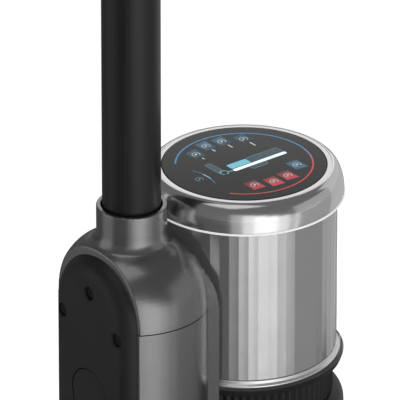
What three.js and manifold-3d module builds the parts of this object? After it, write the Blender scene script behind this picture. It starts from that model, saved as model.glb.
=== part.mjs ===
// A cordless wet and dry floor washer, standing upright on its floor head.
// Millimetres, +Z up, +Y towards the front (away from the person who pushes it).
import * as THREE from 'three';
import { mergeVertices } from 'three/addons/utils/BufferGeometryUtils.js';
import Module from 'manifold-3d';

const wasm = await Module();
wasm.setup();

// ---- Driving dimensions ------------------------------------------------------------------
const gap = 0.3; // clearance between pieces that touch
const wall = 2.5; // moulded casings
const tankWall = 2;
const moduleSides = 36; // facets of the front module's cylinders

// Spine: the pole's axis is the line X = 0, Y = 0.
const poleRadius = 16;
const poleWall = 1.2;
const polePlug = 72; // length held inside the spine
const poleFree = 300; // length between spine and handle socket's mouth
const collarRadius = 18.9;
const collarHeight = 16;
const collarMouth = 17; // countersunk rim of the collar
const barrelRadius = 42.5;
const domeHeight = 59.2; // seam between the casings, below the collar's top
const domeRise = 38;
// The barrel is cut flat at the back, clear of the pole's socket, and the cut is as wide as the slab.
const backFlat = Math.max(0.5224 * barrelRadius, poleRadius + 2 * (gap + wall) + 0.1);
const slabHalfWidth = Math.sqrt(barrelRadius ** 2 - backFlat ** 2);
const saddleHalfWidth = 0.814 * barrelRadius;
const saddleRise = 34; // the saddle's arch above the seam
const coverThickness = 7.4;
const coverRounding = 11;
const coverStep = 1.4; // the back cover is this much inside the slab's edge
const screwSpread = 0.56 * barrelRadius;
const screwTopLevel = -45.4; // below the collar's top
const screwSideLevel = -64.6;
const screwHeadRadius = 3.3;
const screwShankRadius = 1.5;
const screwReach = Math.min(wall + 2, backFlat - poleRadius - 2 * gap - 0.5); // past the flat back
const recessRadius = 3.75;
const releaseHalfWidth = 14.5;
const releaseTopLevel = -92;
const releaseLength = 52;
const releaseThickness = 4;

// Front module: upright cylinder in front of the spine.
const moduleRadius = 55;
const moduleSetback = 23; // the module's back, in front of the pole's axis
const frontAxis = moduleRadius + moduleSetback;
const glassRadius = 45;
const glassThickness = 2;
const boardThickness = 1.6;
const lipRadius = 48;
const bezelHeight = 16.7;
const sleeveHeight = 94.2;
const sleeveWall = 2;
const fluteCount = 60;
const fluteClearance = 2.1; // sleeve's wall to the flutes' crests
const fluteCrest = moduleRadius - sleeveWall - fluteClearance;
const fluteDepth = 0.3;
const insertWall = 3.4;
const footRingHeight = 4.2;
const bandHeight = 4;
const exhaustHeight = 19.4;
const exhaustRadius = 49;
const exhaustRibs = 32;
const exhaustRibDepth = 1.2;
const filterCasingHeight = 172;
const casingRounding = 8;
const motorRadius = 30;
const motorHeight = 52;
const shaftRadius = 2.5;
const fanRadius = 27;
const fanHeight = 11;
const fanBlades = 9;

// Dirty-water tank
const dirtyTankRadius = 52;
const dirtyTankHeight = 168;
const lidThickness = 14;
const lidPlug = 8;
const filterRadius = 46;
const filterHeight = 18;
const floatRadius = 15;
const floatHeight = 16;
const floatTravel = 22;
const intakeRadius = 10;

// Clean-water tank
const cleanTankHalfWidth = 38;
const cleanTankDepth = 55;
const cleanTankHeight = 194;
const cleanTankRounding = 22;
const fillRadius = 11;
const capRadius = 15;

// Lower spine and neck
const lowerBackHeight = 104;
const footHeight = 12;
const footConeHeight = 18;
const footConeRadius = 24;
const neckLength = 48; // pitch axle to the foot's lower face
const journalRadius = 18;
const journalLength = 14;
const yokeRadius = 17;
const yokeHalfWidth = 41.4;
const axleRadius = 5;

// Floor head
const headHalfWidth = 134;
const pitchLevel = 52;
const armInner = 42;
const armOuter = 84;
const armBack = 60;
const headWall = 4;
const rollerRadius = 24;
const trayBack = 44;
const trayFront = 122;
const trayBottom = 6;
const trayRise = 22; // tray's rim above the roller's axis
const trayTop = rollerRadius + trayRise;
const wheelRadius = 22;
const wheelWidth = 14;
const wheelBack = 38; // wheel axles behind the pole's axis
const wheelPinRadius = 4;
const rollerCoreRadius = 16;
const rollerAxis = 160;
const rollerJournal = 5;
const earRadius = rollerRadius + 5.5;
const earFloor = 3; // lowest level of the head's side cheeks
const cheekWidth = 12;
const beltCaseWidth = 20;
const beltCoverThickness = 2.5;
const rollerCoverWall = 2.5;
const rollerPulleyRadius = rollerRadius - 13; // the belt stays clear of the head's floor
const motorPulleyRadius = 7;
const pulleyWidth = 9;
const beltThickness = 2;
const rollerMotorRadius = 15;
const rollerMotorLength = 84;
const rollerMotorAxis = 84;
const rollerMotorLevel = 27;
const deckHeight = 22;

// Handle
const socketWall = 4;
const socketGrip = 55; // length of pole inside the socket
const handleHalfThickness = 16;
const loopLength = 108;
const loopHeight = 92;
const loopBar = 25;
const loopRounding = 32;
const loopOverhang = 21; // loop's reach in front of the pole's axis
const loopTilt = THREE.MathUtils.degToRad(-14);
const stemHeight = 30;
const buttonLength = 15;
const buttonWidth = 11;
const buttonHeight = 5;
const buttonProud = 1.2;
const buttonTravel = 1.5;
const buttonPitch = 22;

// ---- Levels above the floor, worked out from the stack -------------------------------------
const footBottom = pitchLevel + neckLength;
const footTop = footBottom + footConeHeight + footHeight - gap;
const casingBottom = footTop + gap;
const lidBottom = casingBottom + dirtyTankHeight;
const lidTop = lidBottom + lidThickness;
const filterBottom = lidTop + gap;
const filterCasingBottom = filterBottom + filterHeight + 2;
const filterCasingTop = filterCasingBottom + filterCasingHeight;
const exhaustBottom = filterCasingTop + gap;
const exhaustTop = exhaustBottom + exhaustHeight;
const bandBottom = exhaustTop + gap;
const bandTop = bandBottom + bandHeight;
const sleeveBottom = bandTop + gap;
const sleeveTop = sleeveBottom + sleeveHeight;
const bezelBottom = sleeveTop + gap;
const topLevel = bezelBottom + bezelHeight; // the display and the collar end at one level
const seamLevel = topLevel - domeHeight;
const cleanTankBottom = casingBottom + lowerBackHeight + gap;
const cleanTankTop = cleanTankBottom + cleanTankHeight;
const coverBottom = cleanTankTop + 4;
const poleBottom = topLevel - polePlug;
const socketBottom = topLevel + poleFree;
const poleTop = socketBottom + socketGrip;
const loopLevel = poleTop + socketWall + 2 * gap;

// ---- Helpers -------------------------------------------------------------------------------
const washer = new THREE.Group();

function finish(colour, roughness, metalness = 0) {
  return new THREE.MeshStandardMaterial({ color: colour, roughness, metalness });
}

const gunmetal = finish(0x55575a, 0.35, 0.6);
const satinBlack = finish(0x1b1b1c, 0.4);
const matteBlack = finish(0x262626, 0.6);
const chrome = finish(0xd8dadc, 0.15, 1);
const displayGlass = finish(0x2a2a2b, 0.1);
const clearPlastic = finish(0xe8eef0, 0.08);
const smokyPlastic = finish(0x6c7074, 0.15);
const rubber = finish(0x141414, 0.85);
const steel = finish(0xa8aaac, 0.3, 1);
const boardGreen = finish(0x1d5a3a, 0.5);
const fleece = finish(0x8d9096, 0.95);
const filterWhite = finish(0xdddddd, 0.9);
const batteryBlue = finish(0x2b4d73, 0.6);

function place(name, geometry, material, parent = washer) {
  const mesh = new THREE.Mesh(geometry, material);
  mesh.name = name;
  parent.add(mesh);
  return mesh;
}

// Merge shared corners, drop empty triangles and turn the faces outwards.
function weld(geometry) {
  const bare = geometry.index ? geometry.toNonIndexed() : geometry.clone();
  bare.deleteAttribute('normal');
  bare.deleteAttribute('uv');
  const merged = mergeVertices(bare, 1e-4);
  const corner = merged.index.array;
  const kept = [];
  for (let i = 0; i < corner.length; i += 3) {
    const [a, b, c] = corner.slice(i, i + 3);
    if (a !== b && b !== c && c !== a) kept.push(a, b, c);
  }
  const at = (i) => new THREE.Vector3().fromBufferAttribute(merged.attributes.position, i);
  let volume = 0;
  for (let i = 0; i < kept.length; i += 3) {
    volume += at(kept[i]).dot(at(kept[i + 1]).cross(at(kept[i + 2])));
  }
  if (volume < 0) kept.reverse();
  merged.setIndex(kept);
  return merged;
}

function solid(geometry) {
  const welded = weld(geometry);
  return new wasm.Manifold(new wasm.Mesh({
    numProp: 3,
    vertProperties: Float32Array.from(welded.attributes.position.array),
    triVerts: Uint32Array.from(welded.index.array),
  }));
}

function surface(manifold) {
  const mesh = manifold.getMesh();
  const geometry = new THREE.BufferGeometry();
  geometry.setAttribute('position', new THREE.BufferAttribute(mesh.vertProperties, 3));
  geometry.setIndex(new THREE.BufferAttribute(mesh.triVerts, 1));
  geometry.computeVertexNormals();
  return geometry;
}

const join = (...pieces) => surface(unite(...pieces));
const unite = (first, ...rest) => rest.reduce((sum, piece) => sum.add(piece), first);
const carve = (body, ...cutters) => cutters.reduce((rest, cutter) => rest.subtract(cutter), body);

// Turn a closed profile of [radius, level] points about an upright axis.
function turned(profile, { y = 0, sides = 24 } = {}) {
  const points = profile.map(([radius, level]) => new THREE.Vector2(radius, level));
  const geometry = new THREE.LatheGeometry(points, sides);
  geometry.rotateX(Math.PI / 2);
  geometry.translate(0, y, 0);
  return weld(geometry);
}

function rod(radius, bottom, top, options) {
  return turned([[0, bottom], [radius, bottom], [radius, top], [0, top]], options);
}

function tube(outer, inner, bottom, top, options) {
  const profile = [[inner, bottom], [outer, bottom], [outer, top], [inner, top], [inner, bottom]];
  return turned(profile, options);
}

// The same about an axis along X: profile points are [radius, x].
function turnedAcross(profile, y, level, sides = 20) {
  const points = profile.map(([radius, x]) => new THREE.Vector2(radius, x));
  const geometry = new THREE.LatheGeometry(points, sides);
  geometry.rotateZ(-Math.PI / 2);
  geometry.translate(0, y, level);
  return weld(geometry);
}

function rodAcross(radius, left, right, y, level, sides) {
  return turnedAcross([[0, left], [radius, left], [radius, right], [0, right]], y, level, sides);
}

function tubeAcross(outer, inner, left, right, y, level, sides) {
  const profile = [[inner, left], [outer, left], [outer, right], [inner, right], [inner, left]];
  return turnedAcross(profile, y, level, sides);
}

function block(x0, x1, y0, y1, z0, z1) {
  const geometry = new THREE.BoxGeometry(x1 - x0, y1 - y0, z1 - z0);
  geometry.translate((x0 + x1) / 2, (y0 + y1) / 2, (z0 + z1) / 2);
  return geometry;
}

// Extrusions of an outline: upwards (outline in X, Y), forwards (X, Z) or sideways (Y, Z).
const upwards = [[1, 0, 0], [0, 1, 0], [0, 0, 1]];
const backwards = [[1, 0, 0], [0, 0, 1], [0, -1, 0]];
const sideways = [[0, 1, 0], [0, 0, 1], [1, 0, 0]];

// An outline as plain corners, with no two at one place, so that its faces close.
function corners(path, arcs) {
  const points = path.getPoints(arcs);
  return points.filter((point, i) => (
    point.distanceTo(points[(i + points.length - 1) % points.length]) > 1e-3
  ));
}

function extruded(outline, axes, from, to, { rounding = 0, arcs = 5 } = {}) {
  const shape = new THREE.Shape(corners(outline, arcs));
  shape.holes = outline.holes.map((hole) => new THREE.Path(corners(hole, arcs)));
  const geometry = new THREE.ExtrudeGeometry(shape, {
    depth: to - from - 2 * rounding,
    bevelEnabled: rounding > 0,
    bevelThickness: rounding,
    bevelSize: rounding,
    bevelOffset: -rounding,
    bevelSegments: 2,
  });
  geometry.translate(0, 0, from + rounding);
  const [x, y, z] = axes.map((axis) => new THREE.Vector3(...axis));
  geometry.applyMatrix4(new THREE.Matrix4().makeBasis(x, y, z));
  return geometry;
}

const raised = (outline, z0, z1, options) => extruded(outline, upwards, z0, z1, options);
const driven = (outline, y0, y1, options) => extruded(outline, backwards, -y1, -y0, options);
const crossed = (outline, x0, x1, options) => extruded(outline, sideways, x0, x1, options);

// ---- Outlines ------------------------------------------------------------------------------
// A slab seen from behind: straight sides, and an arch on top from the springing level up.
function arch(halfWidth, bottom, springing, rise = halfWidth) {
  const outline = new THREE.Shape();
  outline.moveTo(-halfWidth, bottom);
  outline.lineTo(halfWidth, bottom);
  outline.lineTo(halfWidth, springing);
  outline.absellipse(0, springing, halfWidth, rise, 0, Math.PI, false);
  outline.lineTo(-halfWidth, bottom);
  return outline;
}

function roundedRectangle(x0, x1, y0, y1, radius) {
  const outline = new THREE.Shape();
  outline.moveTo(x0 + radius, y0);
  outline.lineTo(x1 - radius, y0);
  outline.absarc(x1 - radius, y0 + radius, radius, -Math.PI / 2, 0);
  outline.absarc(x1 - radius, y1 - radius, radius, 0, Math.PI / 2);
  outline.absarc(x0 + radius, y1 - radius, radius, Math.PI / 2, Math.PI);
  outline.absarc(x0 + radius, y0 + radius, radius, Math.PI, 1.5 * Math.PI);
  return outline;
}

function wheelOutline(crest, valley, teeth) {
  const outline = new THREE.Shape();
  for (let i = 0; i < 2 * teeth; i += 1) {
    const radius = i % 2 ? valley : crest;
    const angle = (i * Math.PI) / teeth;
    outline[i ? 'lineTo' : 'moveTo'](radius * Math.cos(angle), radius * Math.sin(angle));
  }
  return outline;
}

function ringHole(radius) {
  const hole = new THREE.Path();
  hole.absarc(0, 0, radius, 0, 2 * Math.PI);
  return hole;
}

// The spine seen from above: a round barrel with a flat back, and a straight saddle in front
// that ends in a hollow around the front module. inset moves the whole outline inwards.

function spineSection(inset) {
  const barrel = barrelRadius - inset;
  const back = inset - backFlat;
  const slab = Math.sqrt(barrel ** 2 - back ** 2);
  const saddle = saddleHalfWidth - inset;
  const hollow = moduleRadius + gap + inset;
  const slabAngle = Math.acos(slab / barrel);
  const saddleAngle = Math.acos(saddle / barrel);
  const hollowAngle = Math.acos(saddle / hollow);
  const saddleEnd = frontAxis - Math.sqrt(hollow ** 2 - saddle ** 2);
  const outline = new THREE.Shape();
  outline.moveTo(-slab, back);
  outline.lineTo(slab, back);
  outline.absarc(0, 0, barrel, -slabAngle, saddleAngle, false);
  outline.lineTo(saddle, saddleEnd);
  outline.absarc(0, frontAxis, hollow, -hollowAngle, hollowAngle - Math.PI, true);
  outline.absarc(0, 0, barrel, Math.PI - saddleAngle, Math.PI + slabAngle, false);
  outline.lineTo(-slab, back);
  return outline;
}

// ---- Spine ---------------------------------------------------------------------------------
// Shoulder of the spine, from below the seam up to the collar's foot.
const domeTopAngle = THREE.MathUtils.degToRad(76);
const domeCollar = 18; // radius that the dome's curve closes to

function shoulder(inset, bottom) {
  const start = seamLevel - 2; // the outlines start below the seam and are cut level with it
  const profile = [[0, start], [barrelRadius - inset, start]];
  for (let i = 0; i <= 6; i += 1) {
    const angle = (i / 6) * domeTopAngle;
    const radius = domeCollar + (barrelRadius - domeCollar - inset) * Math.cos(angle);
    profile.push([radius, seamLevel + (domeRise - inset) * Math.sin(angle)]);
  }
  const top = profile[profile.length - 1][1];
  profile.push([0, top]);
  const slabOutline = arch(slabHalfWidth - inset, start, seamLevel);
  const saddleOutline = arch(saddleHalfWidth - inset, start, seamLevel, saddleRise - inset);
  const body = unite(
    solid(turned(profile)),
    solid(driven(slabOutline, inset - backFlat, 0)),
    solid(driven(saddleOutline, 0, frontAxis - moduleRadius / 2)),
  );
  const hollow = rod(moduleRadius + gap + inset, start - 1, topLevel, {
    y: frontAxis, sides: moduleSides,
  });
  const behind = block(-99, 99, -99, inset - backFlat, start - 1, topLevel);
  const below = block(-99, 99, -99, 99, start - 1, bottom);
  return carve(body, solid(hollow), solid(behind), solid(below));
}

function collar() {
  const foot = seamLevel + domeRise - wall;
  return solid(turned([
    [0, poleBottom - wall],
    [poleRadius + gap + wall, poleBottom - wall],
    [poleRadius + gap + wall, foot],
    [collarRadius + 4, foot],
    [collarRadius + 1.2, topLevel - collarHeight - 4],
    [collarRadius, topLevel - collarHeight],
    [collarRadius, topLevel - 0.8],
    [collarRadius - 0.5, topLevel],
    [0, topLevel],
  ]));
}

// The pole's bore: a blind socket with a countersunk mouth.
const poleBore = solid(turned([
  [0, poleBottom - gap],
  [poleRadius + gap, poleBottom - gap],
  [poleRadius + gap, topLevel - 5],
  [collarMouth, topLevel - 5],
  [collarMouth, topLevel + 1],
  [0, topLevel + 1],
]));

// The cover screws, each as [x, level].
const coverScrews = [
  [0, topLevel + screwTopLevel],
  [screwSpread, topLevel + screwSideLevel],
  [-screwSpread, topLevel + screwSideLevel],
];
const coverFront = -backFlat - gap;
const coverBack = coverFront - coverThickness;
const headSeat = coverFront - 3; // floor of each screw recess

function rodForwards(radius, x, level, from, to, sides = 12) {
  const geometry = rod(radius, from, to, { sides });
  geometry.rotateX(-Math.PI / 2);
  geometry.translate(x, 0, level);
  return weld(geometry);
}

const screwHoles = coverScrews.map(([x, level]) => (
  solid(rodForwards(screwShankRadius + gap, x, level, coverBack, -backFlat + 2 * wall))
));

place('pole', tube(poleRadius, poleRadius - poleWall, poleBottom, poleTop), satinBlack);

const seamHalf = gap / 2;
const upperShell = carve(shoulder(0, seamLevel + seamHalf), shoulder(wall, seamLevel - 1));
place('upper_casing', surface(carve(unite(upperShell, collar()), poleBore, ...screwHoles)), gunmetal);

const lowerOutline = spineSection(0);
lowerOutline.holes.push(spineSection(wall));
const lowerShell = solid(raised(lowerOutline, casingBottom, seamLevel - seamHalf));
place('lower_casing', surface(carve(lowerShell, ...screwHoles)), gunmetal);

// Back cover: a plate with a rounded edge all round, cut flat against the casing.
const coverHalfWidth = slabHalfWidth - coverStep;

function coverPlate(outline) {
  const thick = solid(driven(outline, coverBack, coverFront + 2 * coverRounding, {
    rounding: coverRounding,
  }));
  return carve(thick, solid(block(-99, 99, coverFront, 99, 0, topLevel)));
}

function releaseOutline(grow) {
  const radius = releaseHalfWidth + grow;
  const low = 0.7 * releaseHalfWidth + grow;
  const top = topLevel + releaseTopLevel - releaseHalfWidth;
  const bottom = top - releaseLength + releaseHalfWidth + 0.7 * releaseHalfWidth;
  const outline = new THREE.Shape();
  outline.moveTo(radius, top);
  outline.absarc(0, top, radius, 0, Math.PI, false);
  outline.lineTo(-low, bottom);
  outline.absarc(0, bottom, low, Math.PI, 2 * Math.PI, false);
  outline.lineTo(radius, top);
  return outline;
}

const recesses = coverScrews.map(([x, level]) => (
  solid(rodForwards(recessRadius, x, level, coverBack - 1, headSeat))
));
const releaseHole = solid(driven(releaseOutline(gap), coverBack - 1, 0));
place('back_cover', surface(carve(
  coverPlate(arch(coverHalfWidth, coverBottom, seamLevel)),
  ...recesses,
  ...screwHoles,
  releaseHole,
)), matteBlack);
place('clean_release_button', driven(releaseOutline(0), coverBack, coverBack + releaseThickness), matteBlack);

coverScrews.forEach(([x, level], i) => {
  const head = rodForwards(screwHeadRadius, x, level, headSeat - gap - 2.4, headSeat - gap);
  const shank = rodForwards(screwShankRadius, x, level, headSeat - gap - 0.5, screwReach - backFlat);
  place(`cover_screw_${i + 1}`, join(solid(head), solid(shank)), steel);
});

const lowerBackOutline = roundedRectangle(
  -coverHalfWidth, coverHalfWidth, casingBottom, casingBottom + lowerBackHeight, coverRounding + 5,
);
place('lower_back_cover', surface(coverPlate(lowerBackOutline)), matteBlack);

// ---- Inside the spine ----------------------------------------------------------------------
const cavityBack = wall - backFlat + gap;
const cavityFront = frontAxis - moduleRadius - wall - 2 * gap;
const pumpRadius = (cavityFront - cavityBack) / 2 - 2.65;
const batteryHalfWidth = slabHalfWidth - wall - 3.5;
const boardHalfWidth = batteryHalfWidth - 2;
const batteryBottom = casingBottom + 90;
const batteryTop = batteryBottom + 190;
place('battery_pack', block(
  -batteryHalfWidth, batteryHalfWidth, cavityBack, cavityFront, batteryBottom, batteryTop,
), batteryBlue);
place('main_board', block(
  -boardHalfWidth, boardHalfWidth, cavityBack, cavityBack + boardThickness, batteryTop + 6, batteryTop + 72,
), boardGreen);
place('water_pump', rod(pumpRadius, casingBottom + gap, casingBottom + 46, {
  y: cavityBack + pumpRadius + gap, sides: 24,
}), matteBlack);

// ---- Front module: display, bezel, fluted body under a clear sleeve -------------------------
const boardTop = topLevel - glassThickness - gap;
const ledgeTop = boardTop - boardThickness - gap;
const front = { y: frontAxis, sides: moduleSides };
const inner = { y: frontAxis, sides: 24 };

place('display_glass', rod(glassRadius, topLevel - glassThickness, topLevel, front), displayGlass);
place('display_board', rod(glassRadius - 1, boardTop - boardThickness, boardTop, inner), boardGreen);

function bezelProfile() {
  const profile = [
    [glassRadius + gap, ledgeTop],
    [glassRadius - 5, ledgeTop],
    [glassRadius - 5, ledgeTop - 4],
    [lipRadius - 2, ledgeTop - 4],
    [moduleRadius - 4, bezelBottom],
    [moduleRadius, bezelBottom],
    [moduleRadius, bezelBottom + 1.6],
  ];
  const crown = topLevel - bezelBottom - 1.6;
  for (let i = 1; i <= 4; i += 1) {
    const angle = (i / 4) * (Math.PI / 2);
    const radius = lipRadius + (moduleRadius - lipRadius) * Math.cos(angle);
    profile.push([radius, bezelBottom + 1.6 + crown * Math.sin(angle)]);
  }
  profile.push([glassRadius + gap, topLevel], [glassRadius + gap, ledgeTop]);
  return profile;
}

place('bezel_ring', turned(bezelProfile(), front), chrome);
place('clear_sleeve', tube(moduleRadius, moduleRadius - sleeveWall, sleeveBottom, sleeveTop, front), clearPlastic);

const insertBottom = sleeveBottom + footRingHeight + gap;
const insertInner = fluteCrest - fluteDepth - insertWall;
const fluted = wheelOutline(fluteCrest, fluteCrest - fluteDepth, fluteCount);
fluted.holes.push(ringHole(insertInner));
const flutedBody = raised(fluted, insertBottom, sleeveTop, { arcs: 16 });
flutedBody.translate(0, frontAxis, 0);
place('fluted_insert', flutedBody, chrome);

const ringOuter = moduleRadius - sleeveWall - gap;
place('foot_ring', tube(ringOuter, insertInner, sleeveBottom, insertBottom - gap, front), chrome);
place('base_band', turned([
  [fanRadius + 6, bandBottom],
  [moduleRadius - 1.4, bandBottom],
  [moduleRadius, bandTop],
  [fanRadius + 6, bandTop],
  [fanRadius + 6, bandBottom],
], front), matteBlack);

const neckOutline = wheelOutline(exhaustRadius, exhaustRadius - exhaustRibDepth, exhaustRibs);
neckOutline.holes.push(ringHole(exhaustRadius - exhaustRibDepth - wall));
const exhaustNeck = raised(neckOutline, exhaustBottom, exhaustTop, { arcs: 16 });
exhaustNeck.translate(0, frontAxis, 0);
place('exhaust_neck', exhaustNeck, matteBlack);

const filterCasing = turned([
  [moduleRadius - wall, filterCasingBottom],
  [moduleRadius, filterCasingBottom],
  [moduleRadius, filterCasingTop - casingRounding],
  [moduleRadius - 0.13 * casingRounding, filterCasingTop - casingRounding / 2],
  [moduleRadius - casingRounding / 2, filterCasingTop - 0.13 * casingRounding],
  [moduleRadius - casingRounding, filterCasingTop],
  [fanRadius, filterCasingTop],
  [fanRadius, filterCasingTop - wall],
  [moduleRadius - casingRounding, filterCasingTop - wall],
  [moduleRadius - wall, filterCasingTop - casingRounding],
  [moduleRadius - wall, filterCasingBottom],
], front);

// Motor, its rubber mount and the fan on its shaft
const motorBottom = bandTop + fanHeight + 4;
const motorTop = motorBottom + motorHeight;
const mountBottom = motorBottom + 14;
place('suction_motor', turned([
  [0, bandBottom + 1],
  [shaftRadius, bandBottom + 1],
  [shaftRadius, motorBottom],
  [motorRadius, motorBottom],
  [motorRadius, motorTop - 6],
  [motorRadius - 6, motorTop],
  [0, motorTop],
], inner), steel);
place('motor_mount', tube(insertInner - gap, motorRadius + gap, mountBottom, mountBottom + 10, inner), rubber);

function fan() {
  const bottom = bandTop - 2;
  const top = bottom + fanHeight;
  const hub = solid(tube(8, shaftRadius + gap, bottom, top, { sides: 24 }));
  const plate = solid(tube(fanRadius, shaftRadius + gap, top - 2, top, { sides: 24 }));
  const blades = Array.from({ length: fanBlades }, (_, i) => {
    const blade = block(7, fanRadius - 0.5, -0.8, 0.8, bottom, top - 1);
    blade.rotateZ((i * 2 * Math.PI) / fanBlades);
    return solid(blade);
  });
  const geometry = join(hub, plate, ...blades);
  geometry.translate(0, frontAxis, 0);
  return geometry;
}
place('fan_impeller', fan(), matteBlack);

// Latch button of the dirty-water tank, in the casing's front
const latchLevel = filterCasingBottom + 18;
const latchHalfWidth = 13;
const latchHalfHeight = 7;
const latchFront = frontAxis + moduleRadius + 1.5;
const latchBack = latchFront - 8;
const latchHole = block(
  -latchHalfWidth - gap, latchHalfWidth + gap, latchBack - 1, latchFront + 1,
  latchLevel - latchHalfHeight - gap, latchLevel + latchHalfHeight + gap,
);
place('filter_casing', surface(carve(solid(filterCasing), solid(latchHole))), matteBlack);
place('tank_latch_button', block(
  -latchHalfWidth, latchHalfWidth, latchBack, latchFront,
  latchLevel - latchHalfHeight, latchLevel + latchHalfHeight,
), gunmetal);

// ---- Dirty-water tank ------------------------------------------------------------------------
const cupInner = dirtyTankRadius - tankWall;
place('dirty_tank', turned([
  [0, casingBottom],
  [dirtyTankRadius - 3, casingBottom],
  [dirtyTankRadius, casingBottom + 3],
  [dirtyTankRadius, lidBottom - gap],
  [cupInner, lidBottom - gap],
  [cupInner, casingBottom + tankWall + 2],
  [cupInner - 2, casingBottom + tankWall],
  [0, casingBottom + tankWall],
], front), smokyPlastic);

// The lid's underside carries a pin with a foot, which the float rides on.
const floatPin = 5;
const floatBottom = lidBottom - 70;
place('tank_lid', turned([
  [0, lidTop],
  [dirtyTankRadius, lidTop],
  [dirtyTankRadius, lidBottom],
  [cupInner - gap, lidBottom],
  [cupInner - gap, lidBottom - lidPlug],
  [cupInner - gap - wall, lidBottom - lidPlug],
  [cupInner - gap - wall, lidBottom],
  [floatPin, lidBottom],
  [floatPin, floatBottom - gap],
  [floatPin + 4, floatBottom - gap],
  [floatPin + 4, floatBottom - 3],
  [0, floatBottom - 3],
], inner), matteBlack);
place('tank_float', tube(floatRadius, floatPin + gap, floatBottom, floatBottom + floatHeight, {
  ...front, sides: 24,
}), filterWhite);
place('intake_tube', tube(intakeRadius, intakeRadius - tankWall, casingBottom + tankWall + gap, lidBottom - 26, {
  y: frontAxis - cupInner + intakeRadius + 2, sides: 24,
}), smokyPlastic);

const pleats = wheelOutline(filterRadius, filterRadius - 2, 30);
const filterBody = raised(pleats, filterBottom, filterBottom + filterHeight);
filterBody.translate(0, frontAxis, 0);
place('exhaust_filter', filterBody, filterWhite);

// ---- Clean-water tank ------------------------------------------------------------------------
const cleanFront = -backFlat - gap;
const cleanBack = cleanFront - cleanTankDepth;
const fillAxis = cleanBack + cleanTankRounding + 4;

function cleanTankOutline(inset) {
  return roundedRectangle(
    inset - cleanTankHalfWidth, cleanTankHalfWidth - inset,
    cleanBack + inset, cleanFront - inset, cleanTankRounding - inset,
  );
}

place('clean_tank', surface(carve(
  solid(raised(cleanTankOutline(0), cleanTankBottom, cleanTankTop, { arcs: 6 })),
  solid(raised(cleanTankOutline(tankWall), cleanTankBottom + tankWall, cleanTankTop - tankWall, { arcs: 6 })),
  solid(rod(fillRadius, cleanTankTop - 9, cleanTankTop + 1, { y: fillAxis, sides: 24 })),
)), smokyPlastic);
place('clean_tank_cap', turned([
  [0, cleanTankTop - 6],
  [fillRadius - gap, cleanTankTop - 6],
  [fillRadius - gap, cleanTankTop + gap],
  [capRadius, cleanTankTop + gap],
  [capRadius, cleanTankTop + 3],
  [0, cleanTankTop + 3],
], { y: fillAxis, sides: 24 }), matteBlack);

// ---- Foot of the spine and neck --------------------------------------------------------------
const plateBottom = footTop - footHeight;
const socketTop = footBottom + journalLength + 2;
place('spine_foot', surface(carve(
  unite(
    solid(raised(spineSection(0), plateBottom, footTop)),
    solid(rod(dirtyTankRadius + 1, plateBottom, footTop, front)),
    solid(block(-saddleHalfWidth, saddleHalfWidth, 0, frontAxis, plateBottom, footTop)),
    solid(turned([
      [0, footBottom],
      [footConeRadius, footBottom],
      [slabHalfWidth + 1, plateBottom + 1],
      [0, plateBottom + 1],
    ])),
  ),
  solid(block(-99, 99, -99, -backFlat, 0, topLevel)),
  solid(rod(journalRadius + gap, footBottom - 1, socketTop)),
)), matteBlack);

const flangeTop = footBottom - gap;
place('neck_yoke', surface(carve(
  unite(
    solid(rodAcross(yokeRadius, -yokeHalfWidth, yokeHalfWidth, 0, pitchLevel)),
    solid(rod(yokeRadius, pitchLevel, flangeTop, { sides: 32 })),
    solid(rod(footConeRadius, flangeTop - 6, flangeTop, { sides: 32 })),
    solid(rod(journalRadius, flangeTop - 1, footBottom + journalLength)),
  ),
  solid(rodAcross(axleRadius + gap, -99, 99, 0, pitchLevel, 24)),
)), matteBlack);
place('pitch_axle', rodAcross(axleRadius, -armInner - 10, armInner + 10, 0, pitchLevel, 24), steel);

// ---- Floor head ------------------------------------------------------------------------------
const right = headHalfWidth - cheekWidth; // inner face of the right cheek
const caseInner = -headHalfWidth + beltCaseWidth; // outer face of the wall beside the belt
const left = caseInner + headWall; // inner face of the left cheek
const coverSeat = -headHalfWidth + beltCoverThickness + gap;
const rollerLeft = left + gap;
const rollerRight = right - gap;
const rollerLevel = rollerRadius;

// Side cheek seen from the side: a low box that runs into an ear around the roller.
function cheekOutline(shrink) {
  const ear = earRadius - shrink;
  const floorAngle = Math.asin((rollerLevel - earFloor - shrink) / ear);
  const roofAngle = Math.asin((trayTop - rollerLevel - shrink) / ear);
  const outline = new THREE.Shape();
  outline.moveTo(trayBack + 16 + shrink, earFloor + shrink);
  outline.absarc(rollerAxis, rollerLevel, ear, -floorAngle, Math.PI - roofAngle, false);
  outline.lineTo(trayBack + 16 + shrink, trayTop - shrink);
  outline.lineTo(trayBack + 16 + shrink, earFloor + shrink);
  return outline;
}

function wheelArm(side) {
  const [x0, x1] = [armInner, armOuter].map((x) => x * side).sort((a, b) => a - b);
  const [w0, w1] = [wheelLeft - 1, wheelLeft + wheelWidth + 1].map((x) => x * side).sort((a, b) => a - b);
  const armOutline = new THREE.Shape();
  armOutline.moveTo(-armBack + 14, 10);
  armOutline.lineTo(trayBack + headWall, 10);
  armOutline.lineTo(trayBack + headWall, trayTop);
  armOutline.lineTo(16, trayTop);
  armOutline.absarc(0, pitchLevel, 15, -0.4, Math.PI + 0.4, false);
  armOutline.lineTo(-armBack + 14, trayTop);
  armOutline.quadraticCurveTo(-armBack, trayTop, -armBack, 30);
  armOutline.quadraticCurveTo(-armBack, 10, -armBack + 14, 10);
  return carve(
    solid(crossed(armOutline, x0, x1, { arcs: 8 })),
    solid(rodAcross(wheelRadius + 2, w0, w1, -wheelBack, wheelRadius)),
    solid(block(w0, w1, -wheelBack - wheelRadius - 2, -wheelBack + wheelRadius + 2, 0, wheelRadius)),
    solid(rodAcross(wheelPinRadius + gap, w0 - 9, w1 + 9, -wheelBack, wheelRadius, 24)),
  );
}

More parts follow.
